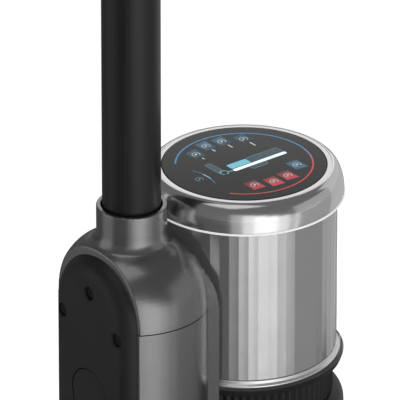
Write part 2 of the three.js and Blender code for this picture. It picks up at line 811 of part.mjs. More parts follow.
const wheelLeft = armInner + 14;
const motorHole = rodAcross(shaftRadius + 1.5, caseInner - 1, left + 12, rollerMotorAxis, rollerMotorLevel, 20);
const journalHole = rodAcross(rollerJournal + gap, caseInner - 1, left + 1, rollerAxis, rollerLevel, 24);
const blindHole = rodAcross(rollerJournal + gap, right - 1, right + 7, rollerAxis, rollerLevel, 24);

place('head_base', surface(carve(
  unite(
    carve(
      solid(block(left - 1, right + 1, trayBack, trayFront, trayBottom, trayTop)),
      solid(block(left + headWall, right - headWall, trayBack + headWall, trayFront - headWall,
        trayBottom + headWall, trayTop + 1)),
    ),
    solid(crossed(cheekOutline(0), right, headHalfWidth)),
    carve(
      solid(crossed(cheekOutline(0), coverSeat, left)),
      solid(crossed(cheekOutline(headWall), coverSeat - 1, caseInner)),
    ),
    wheelArm(1),
    wheelArm(-1),
  ),
  solid(rodAcross(axleRadius + gap, -armInner - 10.5, armInner + 10.5, 0, pitchLevel, 24)),
  solid(motorHole),
  solid(journalHole),
  solid(blindHole),
)), matteBlack);
place('belt_cover', crossed(cheekOutline(0), -headHalfWidth, coverSeat - gap), gunmetal);

[-1, 1].forEach((side) => {
  const name = side < 0 ? 'left' : 'right';
  const reach = (x) => x * side;
  const [a, b] = [reach(wheelLeft), reach(wheelLeft + wheelWidth)].sort((p, q) => p - q);
  const [c, d] = [reach(wheelLeft - 8), reach(wheelLeft + wheelWidth + 8)].sort((p, q) => p - q);
  place(`wheel_${name}`, tubeAcross(wheelRadius, wheelPinRadius + gap, a, b, -wheelBack, wheelRadius, 28), rubber);
  place(`wheel_pin_${name}`, rodAcross(wheelPinRadius, c, d, -wheelBack, wheelRadius, 20), steel);
});

// Deck over the tray: rises from the neck and falls towards the roller.
const deckBottom = trayTop + gap;
const deckFront = rollerAxis - earRadius + 4;

function deckOutline(inset) {
  const top = deckBottom + deckHeight - inset;
  const outline = new THREE.Shape();
  outline.moveTo(trayBack + inset, deckBottom - (inset ? 1 : 0));
  outline.lineTo(deckFront - inset, deckBottom - (inset ? 1 : 0));
  outline.lineTo(deckFront - inset, deckBottom + 6 - inset);
  outline.quadraticCurveTo(deckFront - 8, top, trayBack + 38, top);
  outline.quadraticCurveTo(trayBack + inset + 4, top, trayBack + inset, deckBottom + 8);
  return outline;
}
place('head_cover', surface(carve(
  solid(crossed(deckOutline(0), -headHalfWidth, headHalfWidth, { arcs: 8 })),
  solid(crossed(deckOutline(headWall), headWall - headHalfWidth, headHalfWidth - headWall, { arcs: 8 })),
)), matteBlack);

// Roller and what drives it
place('roller_core', turnedAcross([
  [0, caseInner - pulleyWidth - 2],
  [rollerJournal - 2, caseInner - pulleyWidth - 2],
  [rollerJournal - 2, caseInner - 0.5],
  [rollerJournal, caseInner - 0.5],
  [rollerJournal, rollerLeft],
  [rollerCoreRadius, rollerLeft],
  [rollerCoreRadius, rollerRight],
  [rollerJournal, rollerRight],
  [rollerJournal, right + 6],
  [0, right + 6],
], rollerAxis, rollerLevel), matteBlack);
place('roller_sleeve', tubeAcross(
  rollerRadius, rollerCoreRadius + gap, rollerLeft + 1, rollerRight - 1, rollerAxis, rollerLevel, 28,
), fleece);

const pulleyRight = caseInner - 1;
const pulleyLeft = pulleyRight - pulleyWidth;
place('roller_pulley', tubeAcross(
  rollerPulleyRadius, rollerJournal - 2 + gap, pulleyLeft, pulleyRight, rollerAxis, rollerLevel,
), steel);
place('motor_pulley', tubeAcross(
  motorPulleyRadius, shaftRadius + gap, pulleyLeft, pulleyRight, rollerMotorAxis, rollerMotorLevel,
), steel);

const motorLeft = left + headWall + 2;
place('roller_motor', turnedAcross([
  [0, pulleyLeft - 1],
  [shaftRadius, pulleyLeft - 1],
  [shaftRadius, motorLeft],
  [rollerMotorRadius, motorLeft],
  [rollerMotorRadius, motorLeft + rollerMotorLength],
  [0, motorLeft + rollerMotorLength],
], rollerMotorAxis, rollerMotorLevel), steel);

// The belt: two arcs about the pulleys joined by their outer tangents.
function beltOutline(grow) {
  const span = rollerAxis - rollerMotorAxis;
  const rise = rollerLevel - rollerMotorLevel;
  const distance = Math.hypot(span, rise);
  const slope = Math.atan2(rise, span);
  const lean = Math.acos((rollerPulleyRadius - motorPulleyRadius) / distance);
  const big = rollerPulleyRadius + gap + grow;
  const small = motorPulleyRadius + gap + grow;
  const outline = new THREE.Shape();
  const start = slope + Math.PI - lean;
  const end = slope - Math.PI + lean;
  outline.absarc(rollerAxis, rollerLevel, big, end, start, false);
  outline.absarc(rollerMotorAxis, rollerMotorLevel, small, start, end + 2 * Math.PI, false);
  return outline;
}
const belt = beltOutline(beltThickness);
belt.holes.push(beltOutline(0));
place('drive_belt', crossed(belt, pulleyLeft + 1, pulleyRight - 1, { arcs: 5 }), rubber);

// Roller cover: an arc that closes the head over the roller, between the cheeks.
function arcOutline(inner, outer, from, to) {
  const outline = new THREE.Shape();
  outline.absarc(rollerAxis, rollerLevel, outer, from, to, false);
  outline.absarc(rollerAxis, rollerLevel, inner, to, from, true);
  return outline;
}
place('roller_cover', crossed(
  arcOutline(earRadius - rollerCoverWall, earRadius, 0.12, THREE.MathUtils.degToRad(148)),
  rollerLeft, rollerRight, { arcs: 10 },
), gunmetal);

const scraperLow = 5; // above the roller's axis
const scraperReach = rollerAxis - Math.sqrt(rollerRadius ** 2 - scraperLow ** 2) - gap;
place('scraper', block(
  rollerLeft + 2, rollerRight - 2, trayFront + gap, scraperReach,
  rollerLevel + scraperLow, rollerLevel + scraperLow + 3,
), steel);
place('squeegee', block(left + 6, right - 6, trayFront - 10, trayFront - 6, 1.5, trayBottom - gap), rubber);

// ---- Handle ----------------------------------------------------------------------------------
const socketOuter = poleRadius + gap + socketWall;
place('handle_socket', turned([
  [poleRadius + gap, socketBottom],
  [socketOuter - 1.5, socketBottom],
  [socketOuter, socketBottom + 8],
  [socketOuter, poleTop + gap + socketWall],
  [0, poleTop + gap + socketWall],
  [0, poleTop + gap],
  [poleRadius + gap, poleTop + gap],
  [poleRadius + gap, socketBottom],
]), matteBlack);

// The loop is drawn level, with its front bottom corner at the stem, then leans back.
const loopFront = loopOverhang;
const loopRear = loopFront - loopLength;
const gripTop = loopHeight;

function leaned(geometry) {
  const turnedLoop = geometry.clone();
  turnedLoop.rotateX(loopTilt);
  turnedLoop.translate(0, 0, loopLevel + 6);
  return turnedLoop;
}

const loopOuter = roundedRectangle(loopRear, loopFront, 0, loopHeight, loopRounding);
const handHole = roundedRectangle(
  loopRear + loopBar, loopFront - loopBar, loopBar, loopHeight - loopBar, loopRounding - 18,
);
const buttonNames = ['power_button', 'mode_button', 'clean_button'];
const buttonPlaces = buttonNames.map((_, i) => loopFront - loopRounding - 4 - i * buttonPitch);
const pocketFloor = gripTop - buttonHeight + buttonProud - buttonTravel - 2 * gap;
const pockets = buttonPlaces.map((y) => solid(leaned(block(
  -buttonWidth / 2 - gap, buttonWidth / 2 + gap,
  y - buttonLength / 2 - gap, y + buttonLength / 2 + gap,
  pocketFloor, gripTop + 9,
))));
const boardFront = buttonPlaces[0] + buttonLength / 2;
const boardRear = buttonPlaces[2] - buttonLength / 2;
const switchLevel = pocketFloor - 6;
const boardPocket = solid(leaned(block(
  -buttonWidth / 2 - gap, buttonWidth / 2 + gap, boardRear - gap, boardFront + gap,
  switchLevel - gap, pocketFloor - 2,
)));
const loop = carve(
  unite(
    solid(leaned(crossed(loopOuter, -handleHalfThickness, handleHalfThickness, { arcs: 3, rounding: 5 }))),
    solid(block(
      -handleHalfThickness, handleHalfThickness, -socketOuter + 1, socketOuter - 1, loopLevel, loopLevel + stemHeight,
    )),
  ),
  solid(leaned(crossed(handHole, -99, 99, { arcs: 3 }))),
  solid(block(-99, 99, -200, 200, loopLevel - 99, loopLevel)),
  ...pockets,
  boardPocket,
);
const farSide = 99;
const spanAll = [-300, 300, loopLevel - 99, loopLevel + 400];
place('handle_left', surface(carve(loop, solid(block(-gap / 2, farSide, ...spanAll)))), matteBlack);
place('handle_right', surface(carve(loop, solid(block(-farSide, gap / 2, ...spanAll)))), matteBlack);
place('switch_board', leaned(block(
  -buttonWidth / 2, buttonWidth / 2, boardRear, boardFront, switchLevel, switchLevel + 1.6,
)), boardGreen);
buttonNames.forEach((name, i) => {
  const y = buttonPlaces[i];
  const cap = roundedRectangle(
    -buttonWidth / 2, buttonWidth / 2, y - buttonLength / 2, y + buttonLength / 2, 3,
  );
  const bottom = gripTop + buttonProud - buttonHeight;
  place(name, leaned(raised(cap, bottom, gripTop + buttonProud, { arcs: 3 })), gunmetal);
});

// The origin is on the floor, under the middle of the whole machine.
const extent = new THREE.Box3().setFromObject(washer);
washer.position.y = -(extent.min.y + extent.max.y) / 2;

export default washer;
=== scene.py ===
# %% [markdown]
# # A cordless floor washer
# The machine stands upright: a round display module in front, a metallic spine behind it with a
# black pole rising out of it, two water tanks and a floor head with a fleece roller. The packed
# frame gives every piece its place. This lesson models the visible surfaces around that frame,
# mostly by turning profiles and by extruding outlines, as a toolmaker would draw them.

# %% The frame
import math
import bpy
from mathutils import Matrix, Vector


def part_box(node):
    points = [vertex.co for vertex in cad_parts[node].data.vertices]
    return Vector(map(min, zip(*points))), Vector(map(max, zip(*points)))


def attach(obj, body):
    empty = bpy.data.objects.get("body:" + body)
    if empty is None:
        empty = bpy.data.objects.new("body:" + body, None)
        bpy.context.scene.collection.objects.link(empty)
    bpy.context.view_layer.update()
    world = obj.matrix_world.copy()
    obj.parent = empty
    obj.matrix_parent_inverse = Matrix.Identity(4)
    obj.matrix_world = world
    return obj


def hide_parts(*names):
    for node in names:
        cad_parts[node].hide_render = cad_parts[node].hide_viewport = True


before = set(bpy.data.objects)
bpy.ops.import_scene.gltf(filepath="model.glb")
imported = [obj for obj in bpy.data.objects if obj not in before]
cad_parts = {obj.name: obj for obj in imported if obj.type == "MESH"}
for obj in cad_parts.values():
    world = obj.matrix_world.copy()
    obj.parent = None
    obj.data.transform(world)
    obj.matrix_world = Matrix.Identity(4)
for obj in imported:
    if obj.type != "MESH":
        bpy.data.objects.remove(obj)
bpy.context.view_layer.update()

from types import SimpleNamespace
import bpy
from mathutils import Vector

MM = 0.001
print("nodes in the frame:", len(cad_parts))

# %% [markdown]
# ## The camera
# A tall thing is viewed from far away with a long lens, so that its upright edges stay parallel.
# The camera looks down on the display from behind the right shoulder of the machine, and aims
# just in front of the collar.

# %% Camera
AZIMUTH = math.radians(51.5)
ELEVATION = math.radians(26.4)
DISTANCE = 5.0
LENS = 834


def span(node):
    """Lowest and highest corners of a frame node, in millimetres, and what follows from them."""
    low, high = (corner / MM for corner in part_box(node))
    middle = (low + high) / 2
    return SimpleNamespace(
        low=low, high=high, middle=middle,
        radius=(high.x - low.x) / 2, bottom=low.z, top=high.z,
    )


pole = span("pole")
sleeve = span("clear_sleeve")
glass = span("display_glass")
POLE_Y = pole.middle.y
FRONT_Y = sleeve.middle.y
TOP = glass.top
aim = Vector((23.0, POLE_Y + 28.9, TOP + 1.9)) * MM
away = Vector((
    math.sin(AZIMUTH) * math.cos(ELEVATION),
    -math.cos(AZIMUTH) * math.cos(ELEVATION),
    math.sin(ELEVATION),
))
bpy.ops.object.select_all(action="DESELECT")
bpy.ops.object.camera_add(location=aim + away * DISTANCE, rotation=(math.pi / 2 - ELEVATION, 0, AZIMUTH))
camera = bpy.context.object
camera.data.lens = LENS
camera.data.clip_end = 60
bpy.context.scene.camera = camera
print("display", round(TOP), "mm above the floor; pole to display", round(FRONT_Y - POLE_Y), "mm")

# %% [markdown]
# ## Helpers for modelling
# Two moves make most of this machine. A *chain* is one vertex extruded again and again along an
# outline. Spun about an axis it becomes a turned part, such as a ring or a wheel. Filled and
# extruded it becomes a plate, such as a cover. Both start from a small plane whose corners are
# merged, and both are cleaned by merging doubles and recalculating normals.

# %% Chains, turned parts and plates
def take(piece):
    """Select a piece alone and make it the active object."""
    bpy.ops.object.select_all(action="DESELECT")
    piece.select_set(True)
    bpy.context.view_layer.objects.active = piece


def edit_all(piece):
    """Enter edit mode with the whole of a piece selected."""
    take(piece)
    bpy.ops.object.mode_set(mode="EDIT")
    bpy.ops.mesh.select_all(action="SELECT")


def chain(name, points):
    """A new object in edit mode, holding one chain of edges through the points (millimetres)."""
    bpy.ops.object.select_all(action="DESELECT")
    bpy.ops.mesh.primitive_plane_add(size=MM, location=(0, 0, 0))
    piece = bpy.context.object
    piece.name = name
    bpy.ops.object.mode_set(mode="EDIT")
    bpy.ops.mesh.select_mode(type="VERT")
    bpy.ops.mesh.select_all(action="SELECT")
    bpy.ops.mesh.merge(type="CENTER")
    bpy.ops.transform.translate(value=Vector(points[0]) * MM)
    for here, there in zip(points, points[1:]):
        step = (Vector(there) - Vector(here)) * MM
        bpy.ops.mesh.extrude_vertices_move(TRANSFORM_OT_translate={"value": step})
    return piece


def tidy_mesh():
    """Merge doubles, turn the faces outwards and leave edit mode."""
    bpy.ops.mesh.select_all(action="SELECT")
    bpy.ops.mesh.remove_doubles(threshold=0.002 * MM)
    bpy.ops.mesh.normals_make_consistent(inside=False)
    bpy.ops.object.mode_set(mode="OBJECT")


def smooth(piece, degrees=30):
    """Shade smooth, but keep edges sharper than this angle."""
    take(piece)
    bpy.ops.object.shade_smooth_by_angle(angle=math.radians(degrees))
    return piece


def spun(piece, steps, y, level, axis):
    """Spin a chain once round an axis through a point of the machine's middle plane."""
    bpy.ops.mesh.select_all(action="SELECT")
    bpy.ops.mesh.spin(steps=steps, angle=2 * math.pi, center=(0, y * MM, level * MM), axis=axis)
    tidy_mesh()
    return smooth(piece)


def turned(name, profile, y=0.0, steps=96):
    """Turn (radius, level) points about an upright axis."""
    return spun(chain(name, [(radius, y, level) for radius, level in profile]), steps, y, 0, (0, 0, 1))


def turned_across(name, profile, y, level, steps=96):
    """Turn (radius, x) points about an axis that runs from side to side."""
    piece = chain(name, [(x, y, level + radius) for radius, x in profile])
    return spun(piece, steps, y, level, (1, 0, 0))


def plate(name, outline, plane, low, high):
    """Fill an outline and extrude it: plane is XY, XZ or YZ, low and high lie along the third axis."""
    spread = {
        "XY": lambda a, b: (a, b, low),
        "XZ": lambda a, b: (a, low, b),
        "YZ": lambda a, b: (low, a, b),
    }[plane]
    along = {"XY": Vector((0, 0, 1)), "XZ": Vector((0, 1, 0)), "YZ": Vector((1, 0, 0))}[plane]
    piece = chain(name, [spread(a, b) for a, b in outline])
    bpy.ops.mesh.select_all(action="SELECT")
    bpy.ops.mesh.edge_face_add()
    bpy.ops.mesh.extrude_region_move(TRANSFORM_OT_translate={"value": along * (high - low) * MM})
    tidy_mesh()
    return smooth(piece)


# %% [markdown]
# Real edges are never sharp, and a highlight needs a small round to run along. `eased` rounds the
# corners of a profile before it is turned. `soften` bevels the sharp edges of a finished mesh.

# %% Rounding, modifiers and booleans
def eased(points, closed=False, turns=5):
    """Round a chain's corners: a point is (a, b), or (a, b, radius) where it is rounded."""
    rounded = []
    last = len(points) - 1
    for i, point in enumerate(points):
        corner = Vector(point[:2])
        radius = point[2] if len(point) > 2 else 0
        if not radius or (not closed and i in (0, last)):
            rounded.append(tuple(corner))
            continue
        before = Vector(points[i - 1][:2])
        after = Vector(points[(i + 1) % len(points)][:2])
        start = corner + (before - corner).normalized() * radius
        end = corner + (after - corner).normalized() * radius
        for k in range(turns + 1):
            t = k / turns
            rounded.append(tuple(start * (1 - t) ** 2 + corner * 2 * t * (1 - t) + end * t ** 2))
    if closed:
        rounded.append(rounded[0])
    return rounded


def arc(x, y, radius, start, end, turns, rise=None):
    """Points on a circle, or on an ellipse of half-height rise, between two angles in degrees."""
    rise = radius if rise is None else rise
    angles = [math.radians(start + (end - start) * k / turns) for k in range(turns + 1)]
    return [(x + radius * math.cos(a), y + rise * math.sin(a)) for a in angles]


def rectangle(a0, a1, b0, b1):
    return [(a0, b0), (a1, b0), (a1, b1), (a0, b1)]


def rounded_rectangle(a0, a1, b0, b1, radius):
    return eased([(a, b, radius) for a, b in rectangle(a0, a1, b0, b1)], closed=True)[:-1]


def rod(radius, low, high):
    """Half the section of a solid rod, to be turned."""
    return [(0, low), (radius, low), (radius, high), (0, high)]


def eased_rod(radius, low, high, ease):
    """The same with both rims eased."""
    return eased([(0, low), (radius, low, ease), (radius, high, ease), (0, high)])


def modify(piece, kind, **settings):
    """Add a modifier and apply it."""
    take(piece)
    modifier = piece.modifiers.new(kind, kind)
    for key, value in settings.items():
        setattr(modifier, key, value)
    bpy.ops.object.modifier_apply(modifier=modifier.name)
    return piece


def soften(piece, width, segments=3, degrees=30):
    modify(piece, "BEVEL", width=width * MM, segments=segments, limit_method="ANGLE",
           angle_limit=math.radians(degrees), harden_normals=False)
    return smooth(piece)


def combine(piece, other, operation):
    """Join with another mesh or cut it away; the other mesh is used up."""
    modify(piece, "BOOLEAN", object=other, operation=operation, solver="EXACT")
    bpy.data.objects.remove(other)


def cut(piece, other):
    combine(piece, other, "DIFFERENCE")


def join(piece, other):
    combine(piece, other, "UNION")


def blended(piece, voxel, passes):
    """Rebuild a joined shape as one fine skin and relax it, so its creases become fillets."""
    modify(piece, "REMESH", mode="VOXEL", voxel_size=voxel * MM)
    modify(piece, "SMOOTH", factor=0.5, iterations=passes)
    return smooth(piece, 60)


def mirrored_copy(piece, name):
    """A second piece on the other side of the machine, with a mesh of its own."""
    take(piece)
    bpy.ops.object.duplicate()
    copy = bpy.context.object
    copy.name = name
    edit_all(copy)
    bpy.ops.transform.mirror(constraint_axis=(True, False, False), center_override=(0, 0, 0))
    bpy.ops.mesh.normals_make_consistent(inside=False)
    bpy.ops.object.mode_set(mode="OBJECT")
    return copy


# %% [markdown]
# ## Finishes
# Every finish is a Principled shader with its own fine structure. Plain moulded plastic has a
# spark-eroded grain, metallic paint has flakes, and turned metal has faint rings. Patterns read
# Object coordinates, so they stay on the piece when it moves.

# %% Material helpers
def finish(name, colour, roughness, metallic=0.0, **sockets):
    """A material with its Principled shader's sockets set; returns the material."""
    material = bpy.data.materials.new(name)
    material.use_nodes = True
    shader = material.node_tree.nodes["Principled BSDF"]
    shader.inputs["Base Color"].default_value = (*colour, 1)
    shader.inputs["Roughness"].default_value = roughness
    shader.inputs["Metallic"].default_value = metallic
    for socket, value in sockets.items():
        shader.inputs[socket.replace("_", " ")].default_value = value
    return material


def noise(material, scale, detail=2.0, stretch=(1, 1, 1)):
    """A noise texture on Object coordinates, stretched along the axes where stretch is small."""
    nodes, links = material.node_tree.nodes, material.node_tree.links
    place = nodes.new("ShaderNodeTexCoord")
    mapping = nodes.new("ShaderNodeMapping")
    mapping.inputs["Scale"].default_value = stretch
    texture = nodes.new("ShaderNodeTexNoise")
    texture.inputs["Scale"].default_value = scale
    texture.inputs["Detail"].default_value = detail
    links.new(place.outputs["Object"], mapping.inputs["Vector"])
    links.new(mapping.outputs["Vector"], texture.inputs["Vector"])
    return texture.outputs["Fac"]


def remap(material, source, low, high, bottom=0.35, top=0.65):
    """Stretch a texture's middle range to low..high."""
    node = material.node_tree.nodes.new("ShaderNodeMapRange")
    for socket, value in zip(("From Min", "From Max", "To Min", "To Max"), (bottom, top, low, high)):
        node.inputs[socket].default_value = value
    material.node_tree.links.new(source, node.inputs["Value"])
    return node.outputs["Result"]


def tint(material, factor, dark, light):
    """Colour between two tones by a factor."""
    node = material.node_tree.nodes.new("ShaderNodeMix")
    node.data_type = "RGBA"
    node.inputs["A"].default_value = (*dark, 1)
    node.inputs["B"].default_value = (*light, 1)
    material.node_tree.links.new(factor, node.inputs["Factor"])
    shader = material.node_tree.nodes["Principled BSDF"]
    material.node_tree.links.new(node.outputs["Result"], shader.inputs["Base Color"])


def roughen(material, source, low, high):
    """Let a texture vary the roughness between two values."""
    shader = material.node_tree.nodes["Principled BSDF"]
    material.node_tree.links.new(remap(material, source, low, high), shader.inputs["Roughness"])


def bump(material, height, depth, strength=1.0):
    """Raise the surface by a height texture; depth is in millimetres."""
    nodes, links = material.node_tree.nodes, material.node_tree.links
    node = nodes.new("ShaderNodeBump")
    node.inputs["Strength"].default_value = strength
    node.inputs["Distance"].default_value = depth * MM
    links.new(height, node.inputs["Height"])
    links.new(node.outputs["Normal"], nodes["Principled BSDF"].inputs["Normal"])


# %% [markdown]
# The spine is painted plastic with fine metal flake under a satin coat. The covers are black
# plastic with an eroded grain. The pole is anodised and drawn, so its grain runs lengthwise.

# %% The finishes of the housing
def metallic_paint():
    paint = finish("metallic paint", (0.27, 0.272, 0.275), 0.24, 0.92, Coat_Weight=0.1, Coat_Roughness=0.2)
    flake = noise(paint, 5200, 1)
    tint(paint, remap(paint, flake, 0, 1), (0.23, 0.232, 0.236), (0.32, 0.322, 0.326))
    cloud = noise(paint, 40, 3)
    roughen(paint, cloud, 0.22, 0.27)
    bump(paint, noise(paint, 1600, 1), 0.01, 0.25)
    return paint


def eroded_plastic(name, tone, roughness, grain=0.04):
    plastic = finish(name, (tone, tone, tone), roughness, Specular_IOR_Level=0.4)
    cloud = noise(plastic, 30, 4)
    tint(plastic, remap(plastic, cloud, 0, 1), (tone * 0.85,) * 3, (tone * 1.2,) * 3)
    texture = noise(plastic, 2600, 3)
    roughen(plastic, texture, roughness - 0.06, roughness + 0.08)
    bump(plastic, texture, grain, 0.5)
    return plastic


def drawn_black():
    metal = finish("anodised tube", (0.012, 0.012, 0.013), 0.36, 0.0, Specular_IOR_Level=0.4)
    streak = noise(metal, 900, 2, (1, 1, 0.01))
    roughen(metal, streak, 0.3, 0.42)
    tint(metal, remap(metal, streak, 0, 1), (0.010, 0.010, 0.011), (0.017, 0.017, 0.018))
    bump(metal, streak, 0.01, 0.2)
    return metal


paint = metallic_paint()
cover_plastic = eroded_plastic("cover plastic", 0.016, 0.42)
body_plastic = eroded_plastic("body plastic", 0.012, 0.42)
tube_black = drawn_black()


# %% [markdown]
# Bright parts differ in how they were made. The bezel is turned aluminium with hair-fine rings,
# the fluted body is plastic with a vacuum-deposited mirror coat, and the small pins are steel.

# %% Bright and clear finishes
def turned_metal(name, tone, roughness, ring_depth=0.001):
    metal = finish(name, (tone, tone, tone * 1.01), roughness, 1.0)
    ring = noise(metal, 500, 1, (0.01, 0.01, 1))
    roughen(metal, ring, roughness - 0.02, roughness + 0.03)
    bump(metal, ring, ring_depth, 0.1)
    return metal


def mirror_coat():
    metal = finish("mirror coat", (0.5, 0.5, 0.505), 0.14, 1.0)
    cloud = noise(metal, 60, 3)
    roughen(metal, cloud, 0.12, 0.16)
    return metal


def clear_plastic(name, tone, alpha, edge_alpha, painted_glow_strength=0.0, roughness=0.04, onset=0.1):
    """See-through plastic: it thickens towards its edges, as a tube's wall does. Its glow is a painted
    highlight, strongest where it is thick.
    """
    plastic = finish(name, tone, roughness, 0.0, Emission_Color=(*tone, 1), Emission_Strength=painted_glow_strength)
    nodes, links = plastic.node_tree.nodes, plastic.node_tree.links
    facing = nodes.new("ShaderNodeLayerWeight")
    facing.inputs["Blend"].default_value = 0.35
    amount = remap(plastic, facing.outputs["Facing"], alpha, edge_alpha, onset, 1.0)
    links.new(amount, nodes["Principled BSDF"].inputs["Alpha"])
    haze = noise(plastic, 25, 3)
    roughen(plastic, haze, roughness, roughness + 0.03)
    plastic.surface_render_method = "BLENDED"
    return plastic


bezel_metal = turned_metal("bezel aluminium", 0.78, 0.17)
lip_metal = turned_metal("satin lip", 0.86, 0.26)
pin_steel = turned_metal("pin steel", 0.5, 0.3)
flute_mirror = mirror_coat()
# The clear wall glows a little: a painted highlight that whitens the sleeve's edges.
clear_wall = clear_plastic("clear wall", (0.95, 0.96, 0.97), 0.015, 0.6, 0.5, onset=0.72)
smoke_wall = clear_plastic("smoke wall", (0.05, 0.053, 0.058), 0.45, 0.92)


# %% [markdown]
# A finished piece is given its material, the body that carries it, and the frame nodes that it
# stands for. The nodes stay in the motion model and are hidden here.

# %% Fitting a piece to the frame
def fit(piece, body, slot, material, *nodes):
    piece.data.materials.clear()
    piece.data.materials.append(material)
    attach(piece, body)
    if nodes:
        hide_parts(*nodes)
    return piece


# %% [markdown]
# ## The front module
# The bezel is turned from aluminium: a flat satin lip around the glass, then a convex crown that
# falls to a thin bright bead. One turned profile makes it, because every section is the same. The
# lip is a second ring so that its finish can differ.

# %% Display glass and bezel
bezel = span("bezel_ring")
LIP = bezel.radius - 7  # where the flat lip ends and the crown starts
lens = turned("display_cover", [(0, glass.bottom)] + eased([
    (glass.radius, glass.bottom),
    (glass.radius, glass.top, 0.4),
    (0, glass.top),
]), y=FRONT_Y, steps=128)

bead = bezel.bottom + 1.5
crown = arc(LIP, bead, bezel.radius - 0.35 - LIP, 90, 0, 18, TOP - bead)
ring_profile = [(LIP + 0.1, TOP - 4)] + crown + eased([
    (bezel.radius - 0.35, bead),
    (bezel.radius - 0.35, bezel.bottom + 0.7, 0.2),
    (bezel.radius - 4, bezel.bottom + 0.7),
]) + [(LIP + 0.1, TOP - 4)]
crown_ring = turned("bezel_crown", ring_profile, y=FRONT_Y, steps=160)

lip_ring = turned("bezel_lip", eased([
    (glass.radius + 0.3, TOP - 5),
    (glass.radius + 0.3, TOP - 0.1, 0.3),
    (LIP, TOP - 0.1, 0.3),
    (LIP, TOP - 5),
], closed=True), y=FRONT_Y, steps=128)

# %% [markdown]
# The fluted body is the eye-catcher. Sixty facets run down it, each hollowed by a hair, and they
# meet in sharp crests, so that every facet takes one tone of the room. A loop makes the outline,
# which is closed and extruded upwards.

# %% Fluted body
insert = span("fluted_insert")
FLUTES = 60


def fluted_ring(radius, depth, count, steps):
    """A ring of hollows that meet in crests: the radius dips by depth in the middle of each."""
    points = []
    for i in range(count * steps):
        dip = math.sin(math.pi * (i % steps) / steps)
        angle = 2 * math.pi * i / (count * steps)
        reach = radius - depth * dip
        points.append((reach * math.cos(angle), FRONT_Y + reach * math.sin(angle)))
    return points


def closed_in(piece, scale):
    """Draw both ends of an upright open wall inwards, and join them, so that it becomes a thick ring."""
    bpy.ops.mesh.select_all(action="SELECT")
    bpy.ops.mesh.region_to_loop()
    bpy.ops.mesh.extrude_region_move()
    centre = Vector((0, FRONT_Y, 0)) * MM
    bpy.ops.transform.resize(value=(scale, scale, 1), center_override=centre)
    bpy.ops.mesh.bridge_edge_loops()
    tidy_mesh()
    return piece


def ribbed_wall(name, outline, bottom, top, scale):
    """An upright wall along a closed outline, thickened inwards."""
    piece = chain(name, [(x, y, bottom) for x, y in outline] + [(*outline[0], bottom)])
    bpy.ops.mesh.select_all(action="SELECT")
    bpy.ops.mesh.remove_doubles(threshold=0.002 * MM)
    bpy.ops.mesh.extrude_region_move(TRANSFORM_OT_translate={"value": (0, 0, (top - bottom) * MM)})
    closed_in(piece, scale)
    return smooth(piece, 4)


fluted = ribbed_wall(
    "fluted_body", fluted_ring(insert.radius, 0.1, FLUTES, 6), insert.bottom, insert.top, 0.92,
)
print("flutes:", FLUTES, "each", round(2 * math.pi * insert.radius / FLUTES, 1), "mm wide")

# %% [markdown]
# A clear sleeve slides over the flutes and shows as a bright edge; its glowing rim is a painted
# highlight. Below it come a polished foot ring, a black band, and a ribbed neck where the air
# leaves. Each is a turned or extruded ring.

# %% Sleeve, foot ring, band and neck
wall = turned("sleeve_wall", eased([
    (sleeve.radius - 2, sleeve.bottom),
    (sleeve.radius, sleeve.bottom, 0.5),
    (sleeve.radius, sleeve.top, 0.5),
    (sleeve.radius - 2, sleeve.top),
], closed=True), y=FRONT_Y, steps=160)

sleeve_rim = turned("sleeve_rim", eased([
    (sleeve.radius - 1.6, bezel.bottom - 0.3),
    (sleeve.radius, bezel.bottom - 0.3, 0.2),
    (sleeve.radius, bezel.bottom + 0.6, 0.4),
    (sleeve.radius - 1.6, bezel.bottom + 0.6),
], closed=True), y=FRONT_Y, steps=160)
# The sleeve's rim glows white: a painted highlight for the bright edge of the clear sleeve.
rim_highlight_glow = finish("rim painted highlight", (0.9, 0.9, 0.9), 0.4, Emission_Color=(1, 1, 1, 1), Emission_Strength=0.45)
roughen(rim_highlight_glow, noise(rim_highlight_glow, 300, 2), 0.35, 0.45)
fit(sleeve_rim, "main", "clear_plastic", rim_highlight_glow, "clear_sleeve")

foot = span("foot_ring")
foot_ring = turned("polished_foot_ring", eased([
    (foot.radius - 6, foot.bottom),
    (foot.radius, foot.bottom, 0.8),
    (foot.radius, foot.bottom + 1.6, 0.4),
    (foot.radius - 1.4, foot.bottom + 2.2, 0.4),
    (foot.radius - 1.4, foot.top, 0.6),
    (foot.radius - 6, foot.top),
], closed=True), y=FRONT_Y, steps=128)

band = span("base_band")
base_band = turned("base_band_ring", eased([
    (34, band.bottom),
    (band.radius - 1.4, band.bottom, 0.6),
    (band.radius, band.top, 0.5),
    (34, band.top),
], closed=True), y=FRONT_Y, steps=128)

neck = span("exhaust_neck")
RIBS = 72
exhaust = ribbed_wall(
    "ribbed_neck", fluted_ring(neck.radius, 1.2, RIBS, 4), neck.bottom, neck.top, 0.92,
)

# %% [markdown]
# The filter casing is a black drum with a generous round at its top rim. The latch of the dirty
# tank is cut into its front, so the drum gets a window and the button sits in it.

# %% Filter casing and latch
drum = span("filter_casing")
latch = span("tank_latch_button")


casing = turned("filter_drum", eased([
    (27, drum.top - 2.5),
    (27, drum.top, 0.5),
    (drum.radius, drum.top, 8),
    (drum.radius, drum.bottom, 0.8),
    (drum.radius - 2.5, drum.bottom),
    (drum.radius - 2.5, drum.top - 5),
    (drum.radius - 8, drum.top - 2.5),
], closed=True, turns=10), y=FRONT_Y, steps=128)
window = plate("latch_window", rounded_rectangle(
    latch.low.x - 0.3, latch.high.x + 0.3, latch.bottom - 0.3, latch.top + 0.3, 3,
), "XZ", latch.low.y - 2, latch.high.y + 3)
cut(casing, window)
smooth(casing)
latch_cap = plate("latch_cap", rounded_rectangle(
    latch.low.x, latch.high.x, latch.bottom, latch.top, 3,
), "XZ", latch.low.y, latch.high.y)
soften(latch_cap, 0.8, 3, 50)

